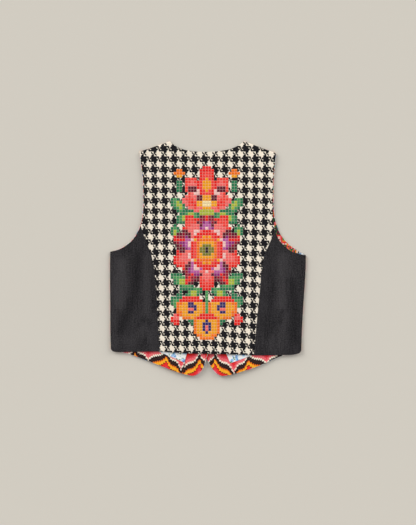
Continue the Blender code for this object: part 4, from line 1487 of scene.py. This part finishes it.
# Each with its slot and, for a curved strip, the widest and the mean width that it was cut to
INSIDE_LAYERS = (
    ("facing", "flame", EDGE_BAND, HEM_BAND),
    ("lining", "lining", 0.0, 0.0),
    ("armhole_facing", "floral", ARMHOLE_BAND, ARMHOLE_BAND),
)
fronts = {
    "left": (
        front_patch(ARMHOLE_LEFT, SIDE_LEFT, FRONT_HEM_LEFT, SHOULDER_LEFT, NECK_LEFT, left_line),
        left_front_under,
        ["front_right_cloth"],
    ),
    "right": (
        front_patch(ARMHOLE_RIGHT, SIDE_RIGHT, FRONT_HEM_RIGHT, SHOULDER_RIGHT, NECK_RIGHT, right_line),
        right_front_under,
        buttons,
    ),
}
for side, (patch, under, below) in fronts.items():
    piece = front_shell(side, patch, under)
    declare(piece, f"front_{side}", patch.flat_area())
    layers = facing_shells(side, patch, under)
    for (layer, (area, width, length)), (node, slot, widest, mean) in zip(layers, INSIDE_LAYERS):
        if widest:
            width, length = widest, area / mean
        declare(layer, f"{node}_{side}", (area, width, length))

# Each with its cloth, its slot, what it lies on and what is stitched to it
BACK_PANELS = (
    ("back_centre", check_cloth, "check", ["front_left_cloth", "front_right_cloth"], [flowers]),
    ("side_back_left", denim_cloth, "denim", ["front_left_cloth"], []),
    ("side_back_right", denim_cloth, "denim", ["front_right_cloth"], []),
)
panels = back_patches()
for name, cloth, slot, below, stitched in BACK_PANELS:
    declare(back_shell(name, panels[name], cloth), name, panels[name].flat_area())


# Floor, light and camera

FLOOR_SIZE = 8.0
FLOOR_DROP = 0.0003
# Degrees clockwise from straight above the neck, degrees up, watts a square metre, degrees of softness
Window = namedtuple("Window", "turn height strength spread")
WINDOWS = (
    Window(-48, 24, 2.5, 34),
    Window(52, 22, 1.5, 40),
)
SKY_STRENGTH = 0.66
WINDOW_COLOUR = (1.0, 0.985, 0.96)
CAMERA_DISTANCE = 5.0
PHOTO_HEIGHT = 1.2338
PHOTO_MIDDLE = -0.0089
SENSOR = 36.0


def make_stage():
    data = bpy.data.meshes.new("floor")
    half = FLOOR_SIZE / 2
    corners = [(-half, -half), (half, -half), (half, half), (-half, half)]
    data.from_pydata([(x, y, -FLOOR_DROP) for x, y in corners], [], [(0, 1, 2, 3)])
    data.materials.append(make_floor())
    put("floor", data)


def make_light():
    """Two low soft windows above the neck, and an even sky."""
    for number, window in enumerate(WINDOWS, 1):
        lamp = bpy.data.lights.new(f"window_{number}", "SUN")
        lamp.energy = window.strength
        lamp.angle = math.radians(window.spread)
        lamp.color = WINDOW_COLOUR
        sun = put(f"window_{number}", lamp)
        turn, height = math.radians(window.turn), math.radians(window.height)
        level = math.cos(height)
        direction = Vector((-level * math.sin(turn), -level * math.cos(turn), -math.sin(height)))
        sun.rotation_euler = direction.to_track_quat("-Z", "Y").to_euler()
    world = bpy.data.worlds.new("studio")
    world.use_nodes = True
    sky = world.node_tree.nodes["Background"]
    sky.inputs["Color"].default_value = (1.0, 1.0, 1.0, 1.0)
    sky.inputs["Strength"].default_value = SKY_STRENGTH
    bpy.context.scene.world = world


def make_camera():
    """Straight above, with the neck at the top of the picture."""
    lens = bpy.data.cameras.new("camera")
    lens.sensor_width = SENSOR
    lens.lens = SENSOR * CAMERA_DISTANCE / PHOTO_HEIGHT
    lens.clip_end = 50.0
    camera = put("camera", lens)
    camera.location = (0.0, PHOTO_MIDDLE, CAMERA_DISTANCE + BACK_HEIGHT)
    bpy.context.scene.camera = camera


make_stage()
make_light()
make_camera()
bpy.context.scene.view_settings.view_transform = "Standard"
